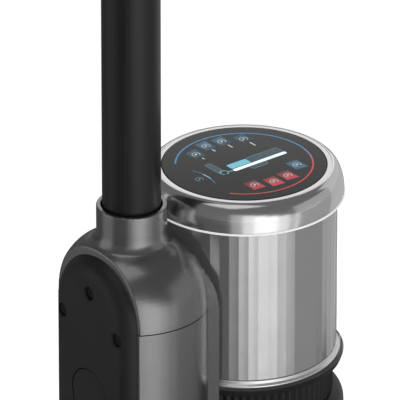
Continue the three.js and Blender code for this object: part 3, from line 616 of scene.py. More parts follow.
# %% Fit the front module
display_black = finish("display cover glass", (0.028, 0.027, 0.026), 0.12, 0.0, Specular_IOR_Level=0.22)
roughen(display_black, noise(display_black, 45, 3), 0.14, 0.2)
fit(lens, "main", "display_glass", display_black, "display_glass")
fit(crown_ring, "main", "chrome", bezel_metal, "bezel_ring")
fit(lip_ring, "main", "chrome", lip_metal, "bezel_ring")
fit(wall, "main", "clear_plastic", clear_wall, "clear_sleeve")
fit(fluted, "main", "metallised", flute_mirror, "fluted_insert")
fit(foot_ring, "main", "chrome", lip_metal, "foot_ring")
fit(base_band, "main", "matte_black", body_plastic, "base_band")
fit(exhaust, "main", "matte_black", body_plastic, "exhaust_neck")
fit(casing, "main", "matte_black", body_plastic, "filter_casing")
fit(latch_cap, "latch_button", "gunmetal", paint, "tank_latch_button")

# %% [markdown]
# ## The pole and the spine
# The pole is a drawn tube. The spine's upper casing is harder: a dome falls from the collar to a
# round barrel, a flat-backed slab stands out behind it for the cover, and a saddle reaches forward
# to the display module. The three are joined, hollowed against the module, and rebuilt as one
# fine skin, so that the creases between them become the soft fillets of a moulding.

# %% Pole
tube = turned("pole_tube", eased([
    (pole.radius - 1.2, pole.bottom),
    (pole.radius, pole.bottom, 0.3),
    (pole.radius, pole.top, 0.3),
    (pole.radius - 1.2, pole.top),
], closed=True), y=POLE_Y, steps=96)
fit(tube, "main", "satin_black", tube_black, "pole")

# %% Outlines of the spine
upper = span("upper_casing")
lower = span("lower_casing")
cover = span("back_cover")
SEAM = lower.top
BARREL = lower.radius
BACK = upper.low.y
SLAB = math.sqrt(BARREL ** 2 - (POLE_Y - BACK) ** 2)
SADDLE = 0.786 * BARREL
HOLLOW = sleeve.radius + 0.3
BEYOND = 99  # farther out than any piece that is cut with it
BARREL_GAP, SADDLE_GAP = 0.6, 0.05  # the open seam above the lower casing


def arch(half_width, bottom, springing, rise, turns=28):
    """Straight sides that run up into an arch; seen from behind."""
    curve = arc(0, springing, half_width, 0, 180, turns, rise)
    return [(half_width, bottom)] + curve + [(-half_width, bottom)]


def spine_outline(inset=0.0):
    """The spine from above: round barrel, flat back, and a saddle hollowed for the module."""
    barrel, saddle, hollow = BARREL - inset, SADDLE - inset, HOLLOW + inset
    back = BACK + inset
    slab = math.sqrt(barrel ** 2 - (POLE_Y - back) ** 2)
    slab_angle = math.degrees(math.acos(slab / barrel))
    saddle_angle = math.degrees(math.acos(saddle / barrel))
    hollow_angle = math.degrees(math.acos(saddle / hollow))
    right = arc(0, POLE_Y, barrel, -slab_angle, saddle_angle, 24)
    front = arc(0, FRONT_Y, hollow, -hollow_angle, hollow_angle - 180, 36)
    left = [(-x, y) for x, y in reversed(right)]
    return [(-slab, back)] + right + front + left


# %% Upper casing
COLLAR = 18.9 + 0.35  # the collar's radius, and what relaxing the skin takes off so tight a curve
DOME_RISE = 38
DOME_FOOT = 18  # the dome's curve springs from a ring of this radius about the pole
dome_curve = [
    (DOME_FOOT + (BARREL - DOME_FOOT) * math.cos(a), SEAM + DOME_RISE * math.sin(a))
    for a in (math.radians(degrees) for degrees in range(0, 77, 4))
]
dome = turned("upper_shell", [(0, SEAM - 6), (BARREL, SEAM - 6)] + dome_curve + eased([
    (COLLAR + 2.2, SEAM + DOME_RISE, 2),
    (COLLAR, TOP - 17, 2.5),
    (COLLAR, TOP, 0.5),
    (0, TOP),
]), y=POLE_Y, steps=128)
slab = plate("slab", arch(SLAB, SEAM - 6, SEAM, SLAB), "XZ", BACK, POLE_Y)
join(dome, slab)
saddle = plate("saddle", arch(SADDLE, SEAM - 6, SEAM, SADDLE), "XZ", POLE_Y, FRONT_Y - 20)
join(dome, saddle)
trim = turned("module_clearance", rod(HOLLOW, SEAM - 9, TOP + 9), y=FRONT_Y, steps=128)
cut(dome, trim)
behind = plate("behind", rectangle(-BEYOND, BEYOND, SEAM - 9, TOP + 9), "XZ", BACK - 60, BACK)
cut(dome, behind)
blended(dome, 0.6, 3)
CREASE = POLE_Y + math.sqrt(BARREL ** 2 - SADDLE ** 2)
for near, far, gap in ((POLE_Y - BEYOND, CREASE, BARREL_GAP), (CREASE - 1, FRONT_Y, SADDLE_GAP)):
    below = plate("below", rectangle(-BEYOND, BEYOND, near, far), "XY", SEAM - 9, SEAM + gap)
    cut(dome, below)
bore_radius = pole.radius + 0.3
bore = turned("pole_bore", [
    (0, TOP - 60),
    (bore_radius, TOP - 60),
    (bore_radius, TOP - 5),
    (17, TOP - 4),
    (17, TOP + 9),
    (0, TOP + 9),
], y=POLE_Y, steps=96)
cut(dome, bore)
smooth(dome, 40)
fit(dome, "main", "gunmetal", paint, "upper_casing")
print("upper casing:", len(dome.data.polygons), "faces")

# %% [markdown]
# Below the seam the casing is one straight extrusion of the same outline, as a long moulding is.
# It is a real shell, with walls of 2.5 mm.

# %% Lower casing
barrel = plate("lower_shell", spine_outline(), "XY", lower.bottom, lower.top)
core = plate("core", spine_outline(2.5), "XY", lower.bottom - 5, lower.top + 5)
cut(barrel, core)
smooth(barrel, 30)
fit(barrel, "main", "gunmetal", paint, "lower_casing")

# %% [markdown]
# ## The back cover
# A matt black plate with an arched top. Its back edge is rounded by 11 mm all round, which one wide
# bevel of the back face's border gives. Screw recesses and the opening of the release button are
# cut through it afterwards, each with a small chamfer so that its mouth catches light.

# %% Back cover, screws and release button
ROUNDING = 11
GROWN = 0.6  # the rounding is still this far from upright where the seat cuts it


def rounded_back(name, outline, near, far):
    """A plate with a wide rounded border on its back face, cut flat where it seats."""
    piece = plate(name, outline, "XZ", far, far + 2 * ROUNDING)
    bpy.ops.object.mode_set(mode="EDIT")
    bpy.ops.mesh.select_mode(type="FACE")
    bpy.ops.mesh.select_all(action="DESELECT")
    bpy.ops.object.mode_set(mode="OBJECT")
    for face in piece.data.polygons:
        face.select = face.normal.y < -0.9
    bpy.ops.object.mode_set(mode="EDIT")
    bpy.ops.mesh.region_to_loop()
    bpy.ops.mesh.bevel(offset=ROUNDING * MM, segments=14, profile=0.5, clamp_overlap=True)
    bpy.ops.mesh.select_all(action="SELECT")
    bpy.ops.mesh.bisect(plane_co=(0, near * MM, 0), plane_no=(0, 1, 0), use_fill=True, clear_outer=True)
    tidy_mesh()
    return smooth(piece, 40)


def recess(x, level, mouth, floor, radius):
    """A cutter for a screw recess: a chamfered mouth, then a straight bore to its floor."""
    wide = radius + 0.8
    cutter = turned("recess", [
        (0, floor), (radius, floor), (radius, mouth - 0.9), (wide, mouth), (wide, mouth + 3), (0, mouth + 3),
    ], steps=40)
    edit_all(cutter)
    bpy.ops.transform.rotate(value=math.pi / 2, orient_axis="X", center_override=(0, 0, 0))
    bpy.ops.object.mode_set(mode="OBJECT")
    leaning = sum(v.co.y for v in cutter.data.vertices)
    bpy.ops.object.mode_set(mode="EDIT")
    if leaning > 0:
        bpy.ops.transform.rotate(value=math.pi, orient_axis="X", center_override=(0, 0, 0))
    bpy.ops.transform.translate(value=Vector((x, 0, level)) * MM)
    tidy_mesh()
    return cutter


arch_radius = cover.radius + GROWN
cover_arch = arch(arch_radius, cover.bottom - GROWN, SEAM, arch_radius, 40)
plate_cover = rounded_back("arched_cover", cover_arch, cover.high.y, cover.low.y)
screws = [span(f"cover_screw_{i}") for i in (1, 2, 3)]
for screw in screws:
    place = screw.middle
    cut(plate_cover, recess(place.x, place.z, -cover.low.y, -screw.low.y - 2.7, 3.75))
release = span("clean_release_button")


def release_outline(grow):
    """A tongue: round at the top, narrower and round at the bottom."""
    high, low = release.radius + grow, 0.7 * release.radius + grow
    top = release.top - release.radius
    bottom = release.bottom + 0.7 * release.radius
    return arc(0, top, high, 0, 180, 24) + arc(0, bottom, low, 180, 360, 20)


opening = plate("release_opening", release_outline(0.4), "XZ", cover.low.y - 3, cover.high.y + 3)
cut(plate_cover, opening)
soften(plate_cover, 0.3, 2, 50)
fit(plate_cover, "main", "matte_black", cover_plastic, "back_cover")
tongue = plate("release_tongue", release_outline(0), "XZ", release.low.y, release.high.y)
soften(tongue, 0.6, 3, 50)
fit(tongue, "release_button", "matte_black", cover_plastic, "clean_release_button")

low_cover = span("lower_back_cover")
low_plate = rounded_back("lower_cover", rounded_rectangle(
    low_cover.low.x - GROWN, low_cover.high.x + GROWN,
    low_cover.bottom - GROWN, low_cover.top + GROWN, ROUNDING + 5,
), low_cover.high.y, low_cover.low.y)
fit(low_plate, "main", "matte_black", cover_plastic, "lower_back_cover")

# %% [markdown]
# ## The two tanks
# The dirty-water tank is a smoky cup under the filter casing. Its lid carries a pin, and a foam
# float rides on the pin. The clean-water tank hangs behind the spine: a rounded box that is
# hollowed, with a round hole for its cap.

# %% Tank finishes
white_foam = eroded_plastic("white foam", 0.62, 0.8, 0.2)
filter_paper = eroded_plastic("filter paper", 0.68, 0.85, 0.1)

# %% Dirty-water tank
cup = span("dirty_tank")
lid = span("tank_lid")
buoy = span("tank_float")
inner = cup.radius - 2
tank = turned("tank_cup", eased([
    (0, cup.bottom),
    (cup.radius, cup.bottom, 5),
    (cup.radius, cup.top, 0.6),
    (inner, cup.top, 0.6),
    (inner, cup.bottom + 2, 4),
    (0, cup.bottom + 2),
]), y=FRONT_Y, steps=128)
tank_cap = turned("tank_lid_cap", eased([
    (0, lid.top),
    (lid.radius, lid.top, 0.8),
    (lid.radius, cup.top + 0.3, 0.8),
    (inner - 0.3, cup.top + 0.3),
    (inner - 0.3, cup.top - 7.7, 0.6),
    (inner - 2.8, cup.top - 7.7, 0.6),
    (inner - 2.8, cup.top + 0.3),
    (5, cup.top + 0.3, 2),
    (5, buoy.bottom - 0.3),
    (9, buoy.bottom - 0.3, 0.5),
    (9, lid.bottom, 0.8),
    (0, lid.bottom),
]), y=FRONT_Y, steps=96)
float_ring = turned("float_ring", eased([
    (5.3, buoy.bottom, 0.6),
    (buoy.radius, buoy.bottom, 3),
    (buoy.radius, buoy.top, 3),
    (5.3, buoy.top, 0.6),
], closed=True), y=FRONT_Y, steps=64)
intake = span("intake_tube")
intake_pipe = turned("intake_pipe", eased([
    (intake.radius - 2, intake.bottom),
    (intake.radius, intake.bottom, 0.5),
    (intake.radius, intake.top, 0.9),
    (intake.radius - 2, intake.top, 0.9),
], closed=True), y=intake.middle.y, steps=64)
paper = span("exhaust_filter")
pleats = plate(
    "pleated_filter", fluted_ring(paper.radius, 2.2, 60, 4), "XY", paper.bottom, paper.top,
)
fit(tank, "dirty_tank", "smoky_plastic", smoke_wall, "dirty_tank")
fit(tank_cap, "dirty_tank", "matte_black", body_plastic, "tank_lid")
fit(float_ring, "float", "white_foam", white_foam, "tank_float")
fit(intake_pipe, "dirty_tank", "smoky_plastic", smoke_wall, "intake_tube")
fit(pleats, "dirty_tank", "filter_paper", filter_paper, "exhaust_filter")

# %% Clean-water tank
clean = span("clean_tank")
cap = span("clean_tank_cap")


def tank_outline(inset):
    low, high = clean.low, clean.high
    return rounded_rectangle(low.x + inset, high.x - inset, low.y + inset, high.y - inset, 22 - inset)


clean_body = plate("clean_body", tank_outline(0), "XY", clean.bottom, clean.top)
soften(clean_body, 3, 4, 60)
hollow = plate("clean_hollow", tank_outline(2), "XY", clean.bottom + 2, clean.top - 2)
soften(hollow, 2, 3, 60)
cut(clean_body, hollow)
fill_hole = turned("fill_hole", rod(11, clean.top - 9, clean.top + 5), y=cap.middle.y, steps=48)
cut(clean_body, fill_hole)
smooth(clean_body, 30)
clean_lid = turned("clean_cap", eased([
    (0, cap.bottom),
    (10.7, cap.bottom, 0.6),
    (10.7, clean.top + 0.3),
    (cap.radius, clean.top + 0.3, 0.3),
    (cap.radius, cap.top, 0.8),
    (9, cap.top, 0.5),
    (8, cap.top - 1.8, 0.5),
    (0, cap.top - 1.8),
]), y=cap.middle.y, steps=64)
grip = plate("cap_grip", rounded_rectangle(
    -9, 9, cap.middle.y - 1.6, cap.middle.y + 1.6, 1.4,
), "XY", cap.top - 2.6, cap.top - 0.1)
join(clean_lid, grip)
smooth(clean_lid, 30)
fit(clean_body, "clean_tank", "smoky_plastic", smoke_wall, "clean_tank")
fit(clean_lid, "clean_cap", "matte_black", body_plastic, "clean_tank_cap")

# %% [markdown]
# ## Foot of the spine and neck
# Below the tanks the spine ends in a foot that holds both. A yoke turns in it from side to side,
# and tips on an axle across the floor head. These are castings, so they are joined from plain
# solids and rebuilt as one relaxed skin. Bores are cut last, so that they stay round.

# %% Foot, yoke and axle
base = span("spine_foot")
yoke = span("neck_yoke")
axle = span("pitch_axle")
PITCH = axle.middle.z
AXLE_BORE = 5.3  # an axle of 5 mm radius turns in it with 0.3 mm to spare
foot_plate = plate("foot_casting", spine_outline(0.3), "XY", base.top - 12, base.top)
foot_disc = turned("foot_disc", rod(cup.radius + 1, base.top - 12, base.top), y=FRONT_Y, steps=96)
join(foot_plate, foot_disc)
bridge_outline = rectangle(-SADDLE, SADDLE, POLE_Y, FRONT_Y)
bridge = plate("foot_bridge", bridge_outline, "XY", base.top - 12, base.top)
join(foot_plate, bridge)
cone = turned("foot_cone", [
    (0, base.bottom), (24, base.bottom), (SLAB + 1, base.top - 11), (0, base.top - 11),
], y=POLE_Y, steps=96)
join(foot_plate, cone)
behind = plate("behind", rectangle(-BEYOND, BEYOND, 0, 300), "XZ", BACK - 60, BACK + 0.2)
cut(foot_plate, behind)
blended(foot_plate, 1.2, 4)
journal_bore = turned("journal_bore", rod(18.3, base.bottom - 5, base.bottom + 16), y=POLE_Y)
cut(foot_plate, journal_bore)
smooth(foot_plate, 40)

casting = turned_across("yoke_casting", rod(17, yoke.low.x, yoke.high.x), POLE_Y, PITCH)
stem = turned("yoke_stem", [
    (0, PITCH),
    (17, PITCH),
    (17, base.bottom - 12),
    (24, base.bottom - 6),
    (24, base.bottom - 0.3),
    (0, base.bottom - 0.3),
], y=POLE_Y)
join(casting, stem)
blended(casting, 1.1, 4)
journal = turned("yoke_journal", eased([
    (0, base.bottom - 3), (17.8, base.bottom - 3), (17.8, yoke.top, 1.2), (0, yoke.top),
]), y=POLE_Y)
join(casting, journal)
axle_bore = turned_across("axle_bore", rod(AXLE_BORE, -60, 60), POLE_Y, PITCH, 48)
cut(casting, axle_bore)
smooth(casting, 40)
axle_pin = turned_across("axle_pin", eased_rod(5, axle.low.x, axle.high.x, 0.8), POLE_Y, PITCH, 48)
fit(foot_plate, "main", "matte_black", body_plastic, "spine_foot")
fit(casting, "neck", "matte_black", body_plastic, "neck_yoke")
fit(axle_pin, "head", "steel", pin_steel, "pitch_axle")

# %% [markdown]
# ## The floor head
# A tray with two cheeks; each cheek ends in a round ear about the roller. The left cheek is hollow
# for the belt. Two arms reach back from the tray to the pitch axle, and each holds a wheel in a
# round well. Every outline is drawn from the side and extruded across the machine.

# %% Floor head base
fleece_box = span("roller_sleeve")
ROLLER_Y, ROLLER_Z = fleece_box.middle.y, fleece_box.middle.z
ROLLER_R = (fleece_box.top - fleece_box.bottom) / 2
EAR = ROLLER_R + 5.5
TRAY_BACK, TRAY_FRONT = POLE_Y + 44, POLE_Y + 122
TRAY_BOTTOM, TRAY_TOP = 6, ROLLER_Z + 22
HALF = 134  # from the middle plane to the outside of a cheek
LEFT, RIGHT = 24 - HALF, HALF - 12
wheel = span("wheel_right")
WHEEL_Y, WHEEL_Z = wheel.middle.y, wheel.middle.z
WELL = 24  # radius of the well round a wheel


def cheek(shrink=0.0):
    """Side view of a cheek: a low box that runs into the ear."""
    ear = EAR - shrink
    floor_angle = math.degrees(math.asin((ROLLER_Z - 3 - shrink) / ear))
    roof_angle = math.degrees(math.asin((TRAY_TOP - ROLLER_Z - shrink) / ear))
    back = TRAY_BACK + 16 + shrink
    return [(back, 3 + shrink)] + arc(ROLLER_Y, ROLLER_Z, ear, -floor_angle, 180 - roof_angle, 48) + [
        (back, TRAY_TOP - shrink)]


def across(name, outline, low, high):
    return plate(name, outline, "YZ", min(low, high), max(low, high))


def wheel_arm(side):
    """An arm with its wheel well, on one side."""
    outline = [(POLE_Y - 46, 10), (TRAY_BACK + 4, 10), (TRAY_BACK + 4, TRAY_TOP), (POLE_Y + 16, TRAY_TOP)]
    outline += arc(POLE_Y, PITCH, 15, -23, 203, 32)
    outline += eased([
        (POLE_Y - 30, TRAY_TOP), (POLE_Y - 60, TRAY_TOP, 15), (POLE_Y - 60, 10, 15), (POLE_Y - 46.01, 10),
    ])[:-1]
    arm = across("wheel_arm", outline, 42 * side, 84 * side)
    ends = sorted((55 * side, 71 * side))
    well = turned_across("wheel_well", rod(WELL, *ends), WHEEL_Y, WHEEL_Z, 64)
    cut(arm, well)
    mouth = across("well_mouth", rectangle(WHEEL_Y - WELL, WHEEL_Y + WELL, -5, WHEEL_Z), *ends)
    cut(arm, mouth)
    return arm


head_tray = across("head_tray", rectangle(TRAY_BACK, TRAY_FRONT, TRAY_BOTTOM, TRAY_TOP), LEFT - 1, RIGHT + 1)
tray_inside = rectangle(TRAY_BACK + 4, TRAY_FRONT - 4, TRAY_BOTTOM + 4, TRAY_TOP + 5)
cut(head_tray, across("tray_inside", tray_inside, LEFT + 4, RIGHT - 4))
join(head_tray, across("right_cheek", cheek(), RIGHT, HALF))
left_cheek = across("left_cheek", cheek(), 2.8 - HALF, LEFT)
cut(left_cheek, across("belt_space", cheek(4), 1 - HALF, 20 - HALF))
join(head_tray, left_cheek)
for side in (1, -1):
    join(head_tray, wheel_arm(side))
pitch_bore = turned_across("pitch_bore", rod(AXLE_BORE, -52.5, 52.5), POLE_Y, PITCH, 48)
cut(head_tray, pitch_bore)
roller_bore = turned_across("roller_bore", rod(AXLE_BORE, 18 - HALF, RIGHT + 7), ROLLER_Y, ROLLER_Z, 48)
cut(head_tray, roller_bore)
smooth(head_tray, 30)
soften(head_tray, 0.8, 2, 50)
print("floor head:", round(2 * HALF), "mm wide,", len(head_tray.data.polygons), "faces")
fit(head_tray, "head", "matte_black", body_plastic, "head_base")

# %% [markdown]
# The deck falls from the neck to the roller in one curve. It is the largest plain surface of the
# head, so its outline is drawn with two quadratic curves and its side edges are rounded.

# %% Deck, belt cover and roller cover
def curve(start, control, end, turns=14):
    return [tuple(
        (1 - t) ** 2 * a + 2 * t * (1 - t) * b + t ** 2 * c for a, b, c in zip(start, control, end)
    ) for t in (k / turns for k in range(turns + 1))]


deck_box = span("head_cover")


def deck_outline(inset):
    low, top = deck_box.bottom - (5 if inset else 0), deck_box.top - inset
    front = ROLLER_Y - EAR + 4 - inset
    back = TRAY_BACK + inset
    rise = curve((front, deck_box.bottom + 6 - inset), (front - 8, top), (TRAY_BACK + 38, top))
    fall = curve((TRAY_BACK + 38, top), (back + 4, top), (back, deck_box.bottom + 8))
    return [(back, low), (front, low)] + rise + fall[1:]


deck = across("deck", deck_outline(0), deck_box.low.x, deck_box.high.x)
soften(deck, 3, 4, 50)
cut(deck, across("deck_inside", deck_outline(4), deck_box.low.x + 4, deck_box.high.x - 4))
smooth(deck, 30)
belt_box = span("belt_cover")
belt_plate = across("belt_plate", cheek(), belt_box.low.x, belt_box.high.x)
soften(belt_plate, 1.0, 3, 50)
hood_box = span("roller_cover")
hood = across("roller_hood", arc(ROLLER_Y, ROLLER_Z, EAR, 6.9, 148, 48) + arc(
    ROLLER_Y, ROLLER_Z, EAR - 2.5, 148, 6.9, 48), hood_box.low.x, hood_box.high.x)
soften(hood, 0.7, 3, 50)
fit(deck, "head", "matte_black", cover_plastic, "head_cover")
fit(belt_plate, "head", "gunmetal", paint, "belt_cover")
fit(hood, "roller_cover", "gunmetal", paint, "roller_cover")

# %% [markdown]
# The roller is a core in a fleece sleeve. The sleeve's pile is a rough, deep bump, mottled in two
# greys. The wheels have a soft tyre profile with a dished hub.

# %% Roller and wheels
def fleece():
    pile = finish("fleece", (0.3, 0.31, 0.33), 0.95, Sheen_Weight=0.4)
    tufts = noise(pile, 900, 4)
    tint(pile, remap(pile, noise(pile, 60, 3, (0.25, 1, 1)), 0, 1), (0.2, 0.21, 0.23), (0.42, 0.43, 0.45))
    roughen(pile, tufts, 0.85, 1.0)
    bump(pile, tufts, 0.9, 0.8)
    return pile


rubber = eroded_plastic("soft rubber", 0.018, 0.75, 0.06)
core_box = span("roller_core")
sleeve_low, sleeve_high = fleece_box.low.x, fleece_box.high.x
roll = turned_across("roller_pile", eased([
    (16.3, sleeve_low, 0.5), (ROLLER_R, sleeve_low, 3), (ROLLER_R, sleeve_high, 3), (16.3, sleeve_high, 0.5),
], closed=True), ROLLER_Y, ROLLER_Z, 96)
spindle = turned_across("roller_spindle", eased([
    (0, core_box.low.x),
    (3, core_box.low.x, 0.4),
    (3, 19.5 - HALF),
    (5, 19.5 - HALF, 0.4),
    (5, LEFT + 0.3),
    (16, LEFT + 0.3, 0.6),
    (16, RIGHT - 0.3, 0.6),
    (5, RIGHT - 0.3),
    (5, core_box.high.x, 0.6),
    (0, core_box.high.x),
]), ROLLER_Y, ROLLER_Z, 64)
fit(roll, "roller", "fleece", fleece(), "roller_sleeve")
fit(spindle, "roller", "matte_black", body_plastic, "roller_core")
for side in ("right", "left"):
    rim, pin = span(f"wheel_{side}"), span(f"wheel_pin_{side}")
    a, b = rim.low.x, rim.high.x
    reach = (rim.top - rim.bottom) / 2
    tyre = turned_across(f"tyre_{side}", eased([
        (4.3, a + 2), (13, a + 2, 0.6), (14.5, a, 0.6), (reach, a, 3),
        (reach, b, 3), (14.5, b, 0.6), (13, b - 2, 0.6), (4.3, b - 2),
    ], closed=True), WHEEL_Y, WHEEL_Z, 96)
    stub_profile = eased_rod(4, pin.low.x, pin.high.x, 0.6)
    stub = turned_across(f"wheel_stub_{side}", stub_profile, WHEEL_Y, WHEEL_Z, 48)
    fit(tyre, f"wheel_{side}", "rubber", rubber, f"wheel_{side}")
    fit(stub, "head", "steel", pin_steel, f"wheel_pin_{side}")

# %% [markdown]
# ## The handle
# A closed loop leans back on top of the pole. It is modelled level, as a thick plate with a hand
# hole, rounded by rebuilding it as a relaxed skin, and then turned by fourteen degrees. The stem
# is upright and joins afterwards. One bisection gives the two halves of the moulding.

# %% Handle loop
LEAN = 14
socket = span("handle_socket")
LOOP_Z = socket.top + 0.3
POCKET_FLOOR, CAP_FLOOR, CAP_TOP = 86, 88.2, 93.2  # levels on the loop before it leans; its top is at 92


def leaned(piece):
    """Turn a level piece of the handle back by the lean, and lift it to its place."""
    edit_all(piece)
    bpy.ops.transform.rotate(value=math.radians(LEAN), orient_axis="X", center_override=(0, 0, 0))
    bpy.ops.transform.translate(value=Vector((0, POLE_Y, LOOP_Z + 6)) * MM)
    tidy_mesh()
    return piece


loop = across("handle_loop", rounded_rectangle(-87, 21, 0, 92, 32), -16.2, 16.2)
cut(loop, across("hand_hole", rounded_rectangle(-62, -4, 25, 67, 14), -30, 30))
soften(loop, 5, 2, 50)
blended(loop, 1.0, 6)
leaned(loop)
stem_block = plate("handle_stem", rounded_rectangle(
    -16.2, 16.2, POLE_Y - 19.5, POLE_Y + 19.5, 6), "XY", LOOP_Z + 0.1, LOOP_Z + 30)
join(loop, stem_block)
blended(loop, 0.9, 4)
under = plate("under", rectangle(-60, 60, POLE_Y - 150, POLE_Y + 90), "XY", LOOP_Z - 40, LOOP_Z + 0.2)
cut(loop, under)
for i, name in enumerate(("power", "mode", "clean")):
    centre = -15 - i * 22
    mouth = rounded_rectangle(-5.8, 5.8, centre - 7.8, centre + 7.8, 3)
    pocket = plate(f"{name}_pocket", mouth, "XY", POCKET_FLOOR, BEYOND)
    cut(loop, leaned(pocket))
    pad = rounded_rectangle(-5.5, 5.5, centre - 7.5, centre + 7.5, 2.8)
    cap_piece = plate(f"{name}_cap", pad, "XY", CAP_FLOOR, CAP_TOP)
    soften(cap_piece, 0.7, 3, 50)
    leaned(cap_piece)
    fit(cap_piece, f"{name}_button", "gunmetal", paint, f"{name}_button")
smooth(loop, 40)
print("handle reaches", [round(v, 4) for v in min((v.co for v in loop.data.vertices), key=lambda c: c.y)],
      "frame", [round(v / 1000, 4) for v in span("handle_left").low])

# %% Handle halves and socket
half = mirrored_copy(loop, "handle_half_right")
for piece, plane in ((loop, 0.15), (half, -0.15)):
    edit_all(piece)
    bpy.ops.mesh.bisect(
        plane_co=(plane * MM, 0, 0), plane_no=(1, 0, 0), use_fill=True,
        clear_inner=plane > 0, clear_outer=plane < 0,
    )
    bpy.ops.object.mode_set(mode="OBJECT")
    smooth(piece, 40)
fit(loop, "main", "matte_black", cover_plastic, "handle_left")
fit(half, "main", "matte_black", cover_plastic, "handle_right")
cuff = turned("handle_cuff", eased([
    (16.3, socket.bottom, 0.5),
    (18.8, socket.bottom, 0.8),
    (socket.radius, socket.bottom + 8, 3),
    (socket.radius, socket.top, 1),
    (0, socket.top),
]) + [(0, socket.top - 4), (16.3, socket.top - 4), (16.3, socket.bottom + 0.5)], y=POLE_Y)
fit(cuff, "main", "matte_black", body_plastic, "handle_socket")

# %% [markdown]
# ## Pieces inside
# What lies inside, and the smallest pieces outside, keep the shape they have in the frame and only
# get a finish. Circuit boards show a lattice of tracks, the cells are wrapped in film, and motor
# cans are drawn steel.

# %% Finishes of the inside
def checked(name, dark, light, scale, roughness, metallic=0.0):
    """Small cells in two tones, for boards and wraps."""
    material = finish(name, dark, roughness, metallic)
    nodes, links = material.node_tree.nodes, material.node_tree.links
    place = nodes.new("ShaderNodeTexCoord")
    cells = nodes.new("ShaderNodeTexVoronoi")
    cells.feature = "DISTANCE_TO_EDGE"
    cells.inputs["Scale"].default_value = scale
    links.new(place.outputs["Object"], cells.inputs["Vector"])
    tint(material, remap(material, cells.outputs["Distance"], 0, 1, 0.02, 0.09), light, dark)
    roughen(material, noise(material, 400, 2), roughness - 0.05, roughness + 0.08)
    return material


board_green = checked("circuit board", (0.012, 0.09, 0.045), (0.05, 0.22, 0.11), 260, 0.45)
battery_film = checked("battery wrap", (0.02, 0.06, 0.16), (0.03, 0.08, 0.2), 45, 0.4)
motor_steel = turned_metal("motor can", 0.42, 0.35)
screw_black_and_hole_shade = eroded_plastic("near-black screws and hole shade", 0.0012, 0.6, 0.05)


def keep(material, *names):
    """Give frame nodes a finish of their own, and leave their shape alone."""
    for name in names:
        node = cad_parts[name]
        node.data.materials.clear()
        node.data.materials.append(material)


keep(pin_steel, "scraper")
# The screws are made nearly black, far darker than any plastic here, so that their recesses read as black
# holes: partly the screws' own dark finish, partly painted shade of the recesses.
keep(screw_black_and_hole_shade, "cover_screw_1", "cover_screw_2", "cover_screw_3")
keep(board_green, "display_board", "main_board", "switch_board")
keep(battery_film, "battery_pack")
keep(motor_steel, "suction_motor", "roller_motor", "roller_pulley", "motor_pulley")
keep(body_plastic, "water_pump", "fan_impeller")
keep(rubber, "motor_mount", "drive_belt", "squeegee")

# %% [markdown]
# ## The display's graphics
# A ring gauge on the cover glass runs from blue to red, with mode tabs on either side and a small
# drawing of the machine. Each is a film of two hundredths of a millimetre that glows. Plain bars
# stand for words.

# %% Glowing films
def glow(name, colour, strength, other=None, start=0.0, end=1.0, fade=None):
    """An emissive film: one colour, or two across the width; it may fade out across the width."""
    material = finish(name, (0.01, 0.01, 0.01), 0.35)
    nodes, links = material.node_tree.nodes, material.node_tree.links
    shader = nodes["Principled BSDF"]
    place = nodes.new("ShaderNodeTexCoord")
    split = nodes.new("ShaderNodeSeparateXYZ")
    links.new(place.outputs["Object"], split.inputs["Vector"])
    mix = nodes.new("ShaderNodeMix")
    mix.data_type = "RGBA"
    mix.inputs["A"].default_value = (*colour, 1)
    mix.inputs["B"].default_value = (*(other or colour), 1)
    links.new(remap(material, split.outputs["X"], 0, 1, start * MM, end * MM), mix.inputs["Factor"])
    links.new(mix.outputs["Result"], shader.inputs["Emission Color"])
    if fade:
        level = remap(material, split.outputs["X"], strength, 0.02, fade[0] * MM, fade[1] * MM)
    else:
        level = remap(material, noise(material, 900, 1), strength * 0.85, strength * 1.1)
    links.new(level, shader.inputs["Emission Strength"])
    roughen(material, noise(material, 300, 1), 0.3, 0.4)
    return material


BLUE, RED, CYAN, PALE = (0.07, 0.32, 0.62), (0.75, 0.05, 0.06), (0.2, 0.62, 0.8), (0.75, 0.95, 1.0)
gauge_glow = glow("gauge light", BLUE, 0.7, RED, 5, 24)
blue_tab = glow("blue tab light", (0.03, 0.1, 0.17), 0.9, fade=(-33, -19))
teal_tab = glow("teal tab light", (0.03, 0.1, 0.17), 0.9)
red_tab = glow("red tab light", (0.6, 0.03, 0.05), 0.8, fade=(31, 17))
icon_glow = glow("icon light", (0.75, 0.85, 0.9), 0.6)
strip_glow = glow("strip light", PALE, 1.2)
cyan_glow = glow("cyan light", CYAN, 0.8)
line_glow = glow("outline light", (0.12, 0.3, 0.38), 0.7)
shade_glow = glow("shade light", (0.04, 0.09, 0.12), 0.6)
DISPLAY = TOP + 0.02


def film(name, outline, material, level=0, thickness=0.02):
    """A film on the display; the outline is measured from the display's centre."""
    piece = plate(name, [(u, FRONT_Y + v) for u, v in outline], "XY",
                  DISPLAY + level * 0.03, DISPLAY + level * 0.03 + thickness)
    return fit(piece, "main", "display_glass", material)


def band_of(points, width):
    """The outline of a line of even width along some points."""
    left, right = [], []
    for i, point in enumerate(points):
        before = Vector(points[max(i - 1, 0)])
        after = Vector(points[min(i + 1, len(points) - 1)])
        along = (after - before).normalized()
        side = Vector((-along.y, along.x)) * width / 2
        left.append(tuple(Vector(point) + side))
        right.append(tuple(Vector(point) - side))
    return left + right[::-1]


film("gauge", band_of(arc(0, 0, 37.5, 232, -51, 96), 0.9), gauge_glow)
shallow_arc = [(-10.7 + 1.25 * k, -25.8 - 0.028 * (k - 8) ** 2) for k in range(17)]
film("lower_arc", band_of(shallow_arc, 0.35), line_glow)
film("lower_bar", band_of([(-3.4, -25.9), (0, -25.8), (3.2, -25.9)], 0.7), cyan_glow, 1)

# %% [markdown]
# The tabs follow the gauge: each is a short quadrilateral between two radii. On the left they fade
# inwards from blue, on the right from red.

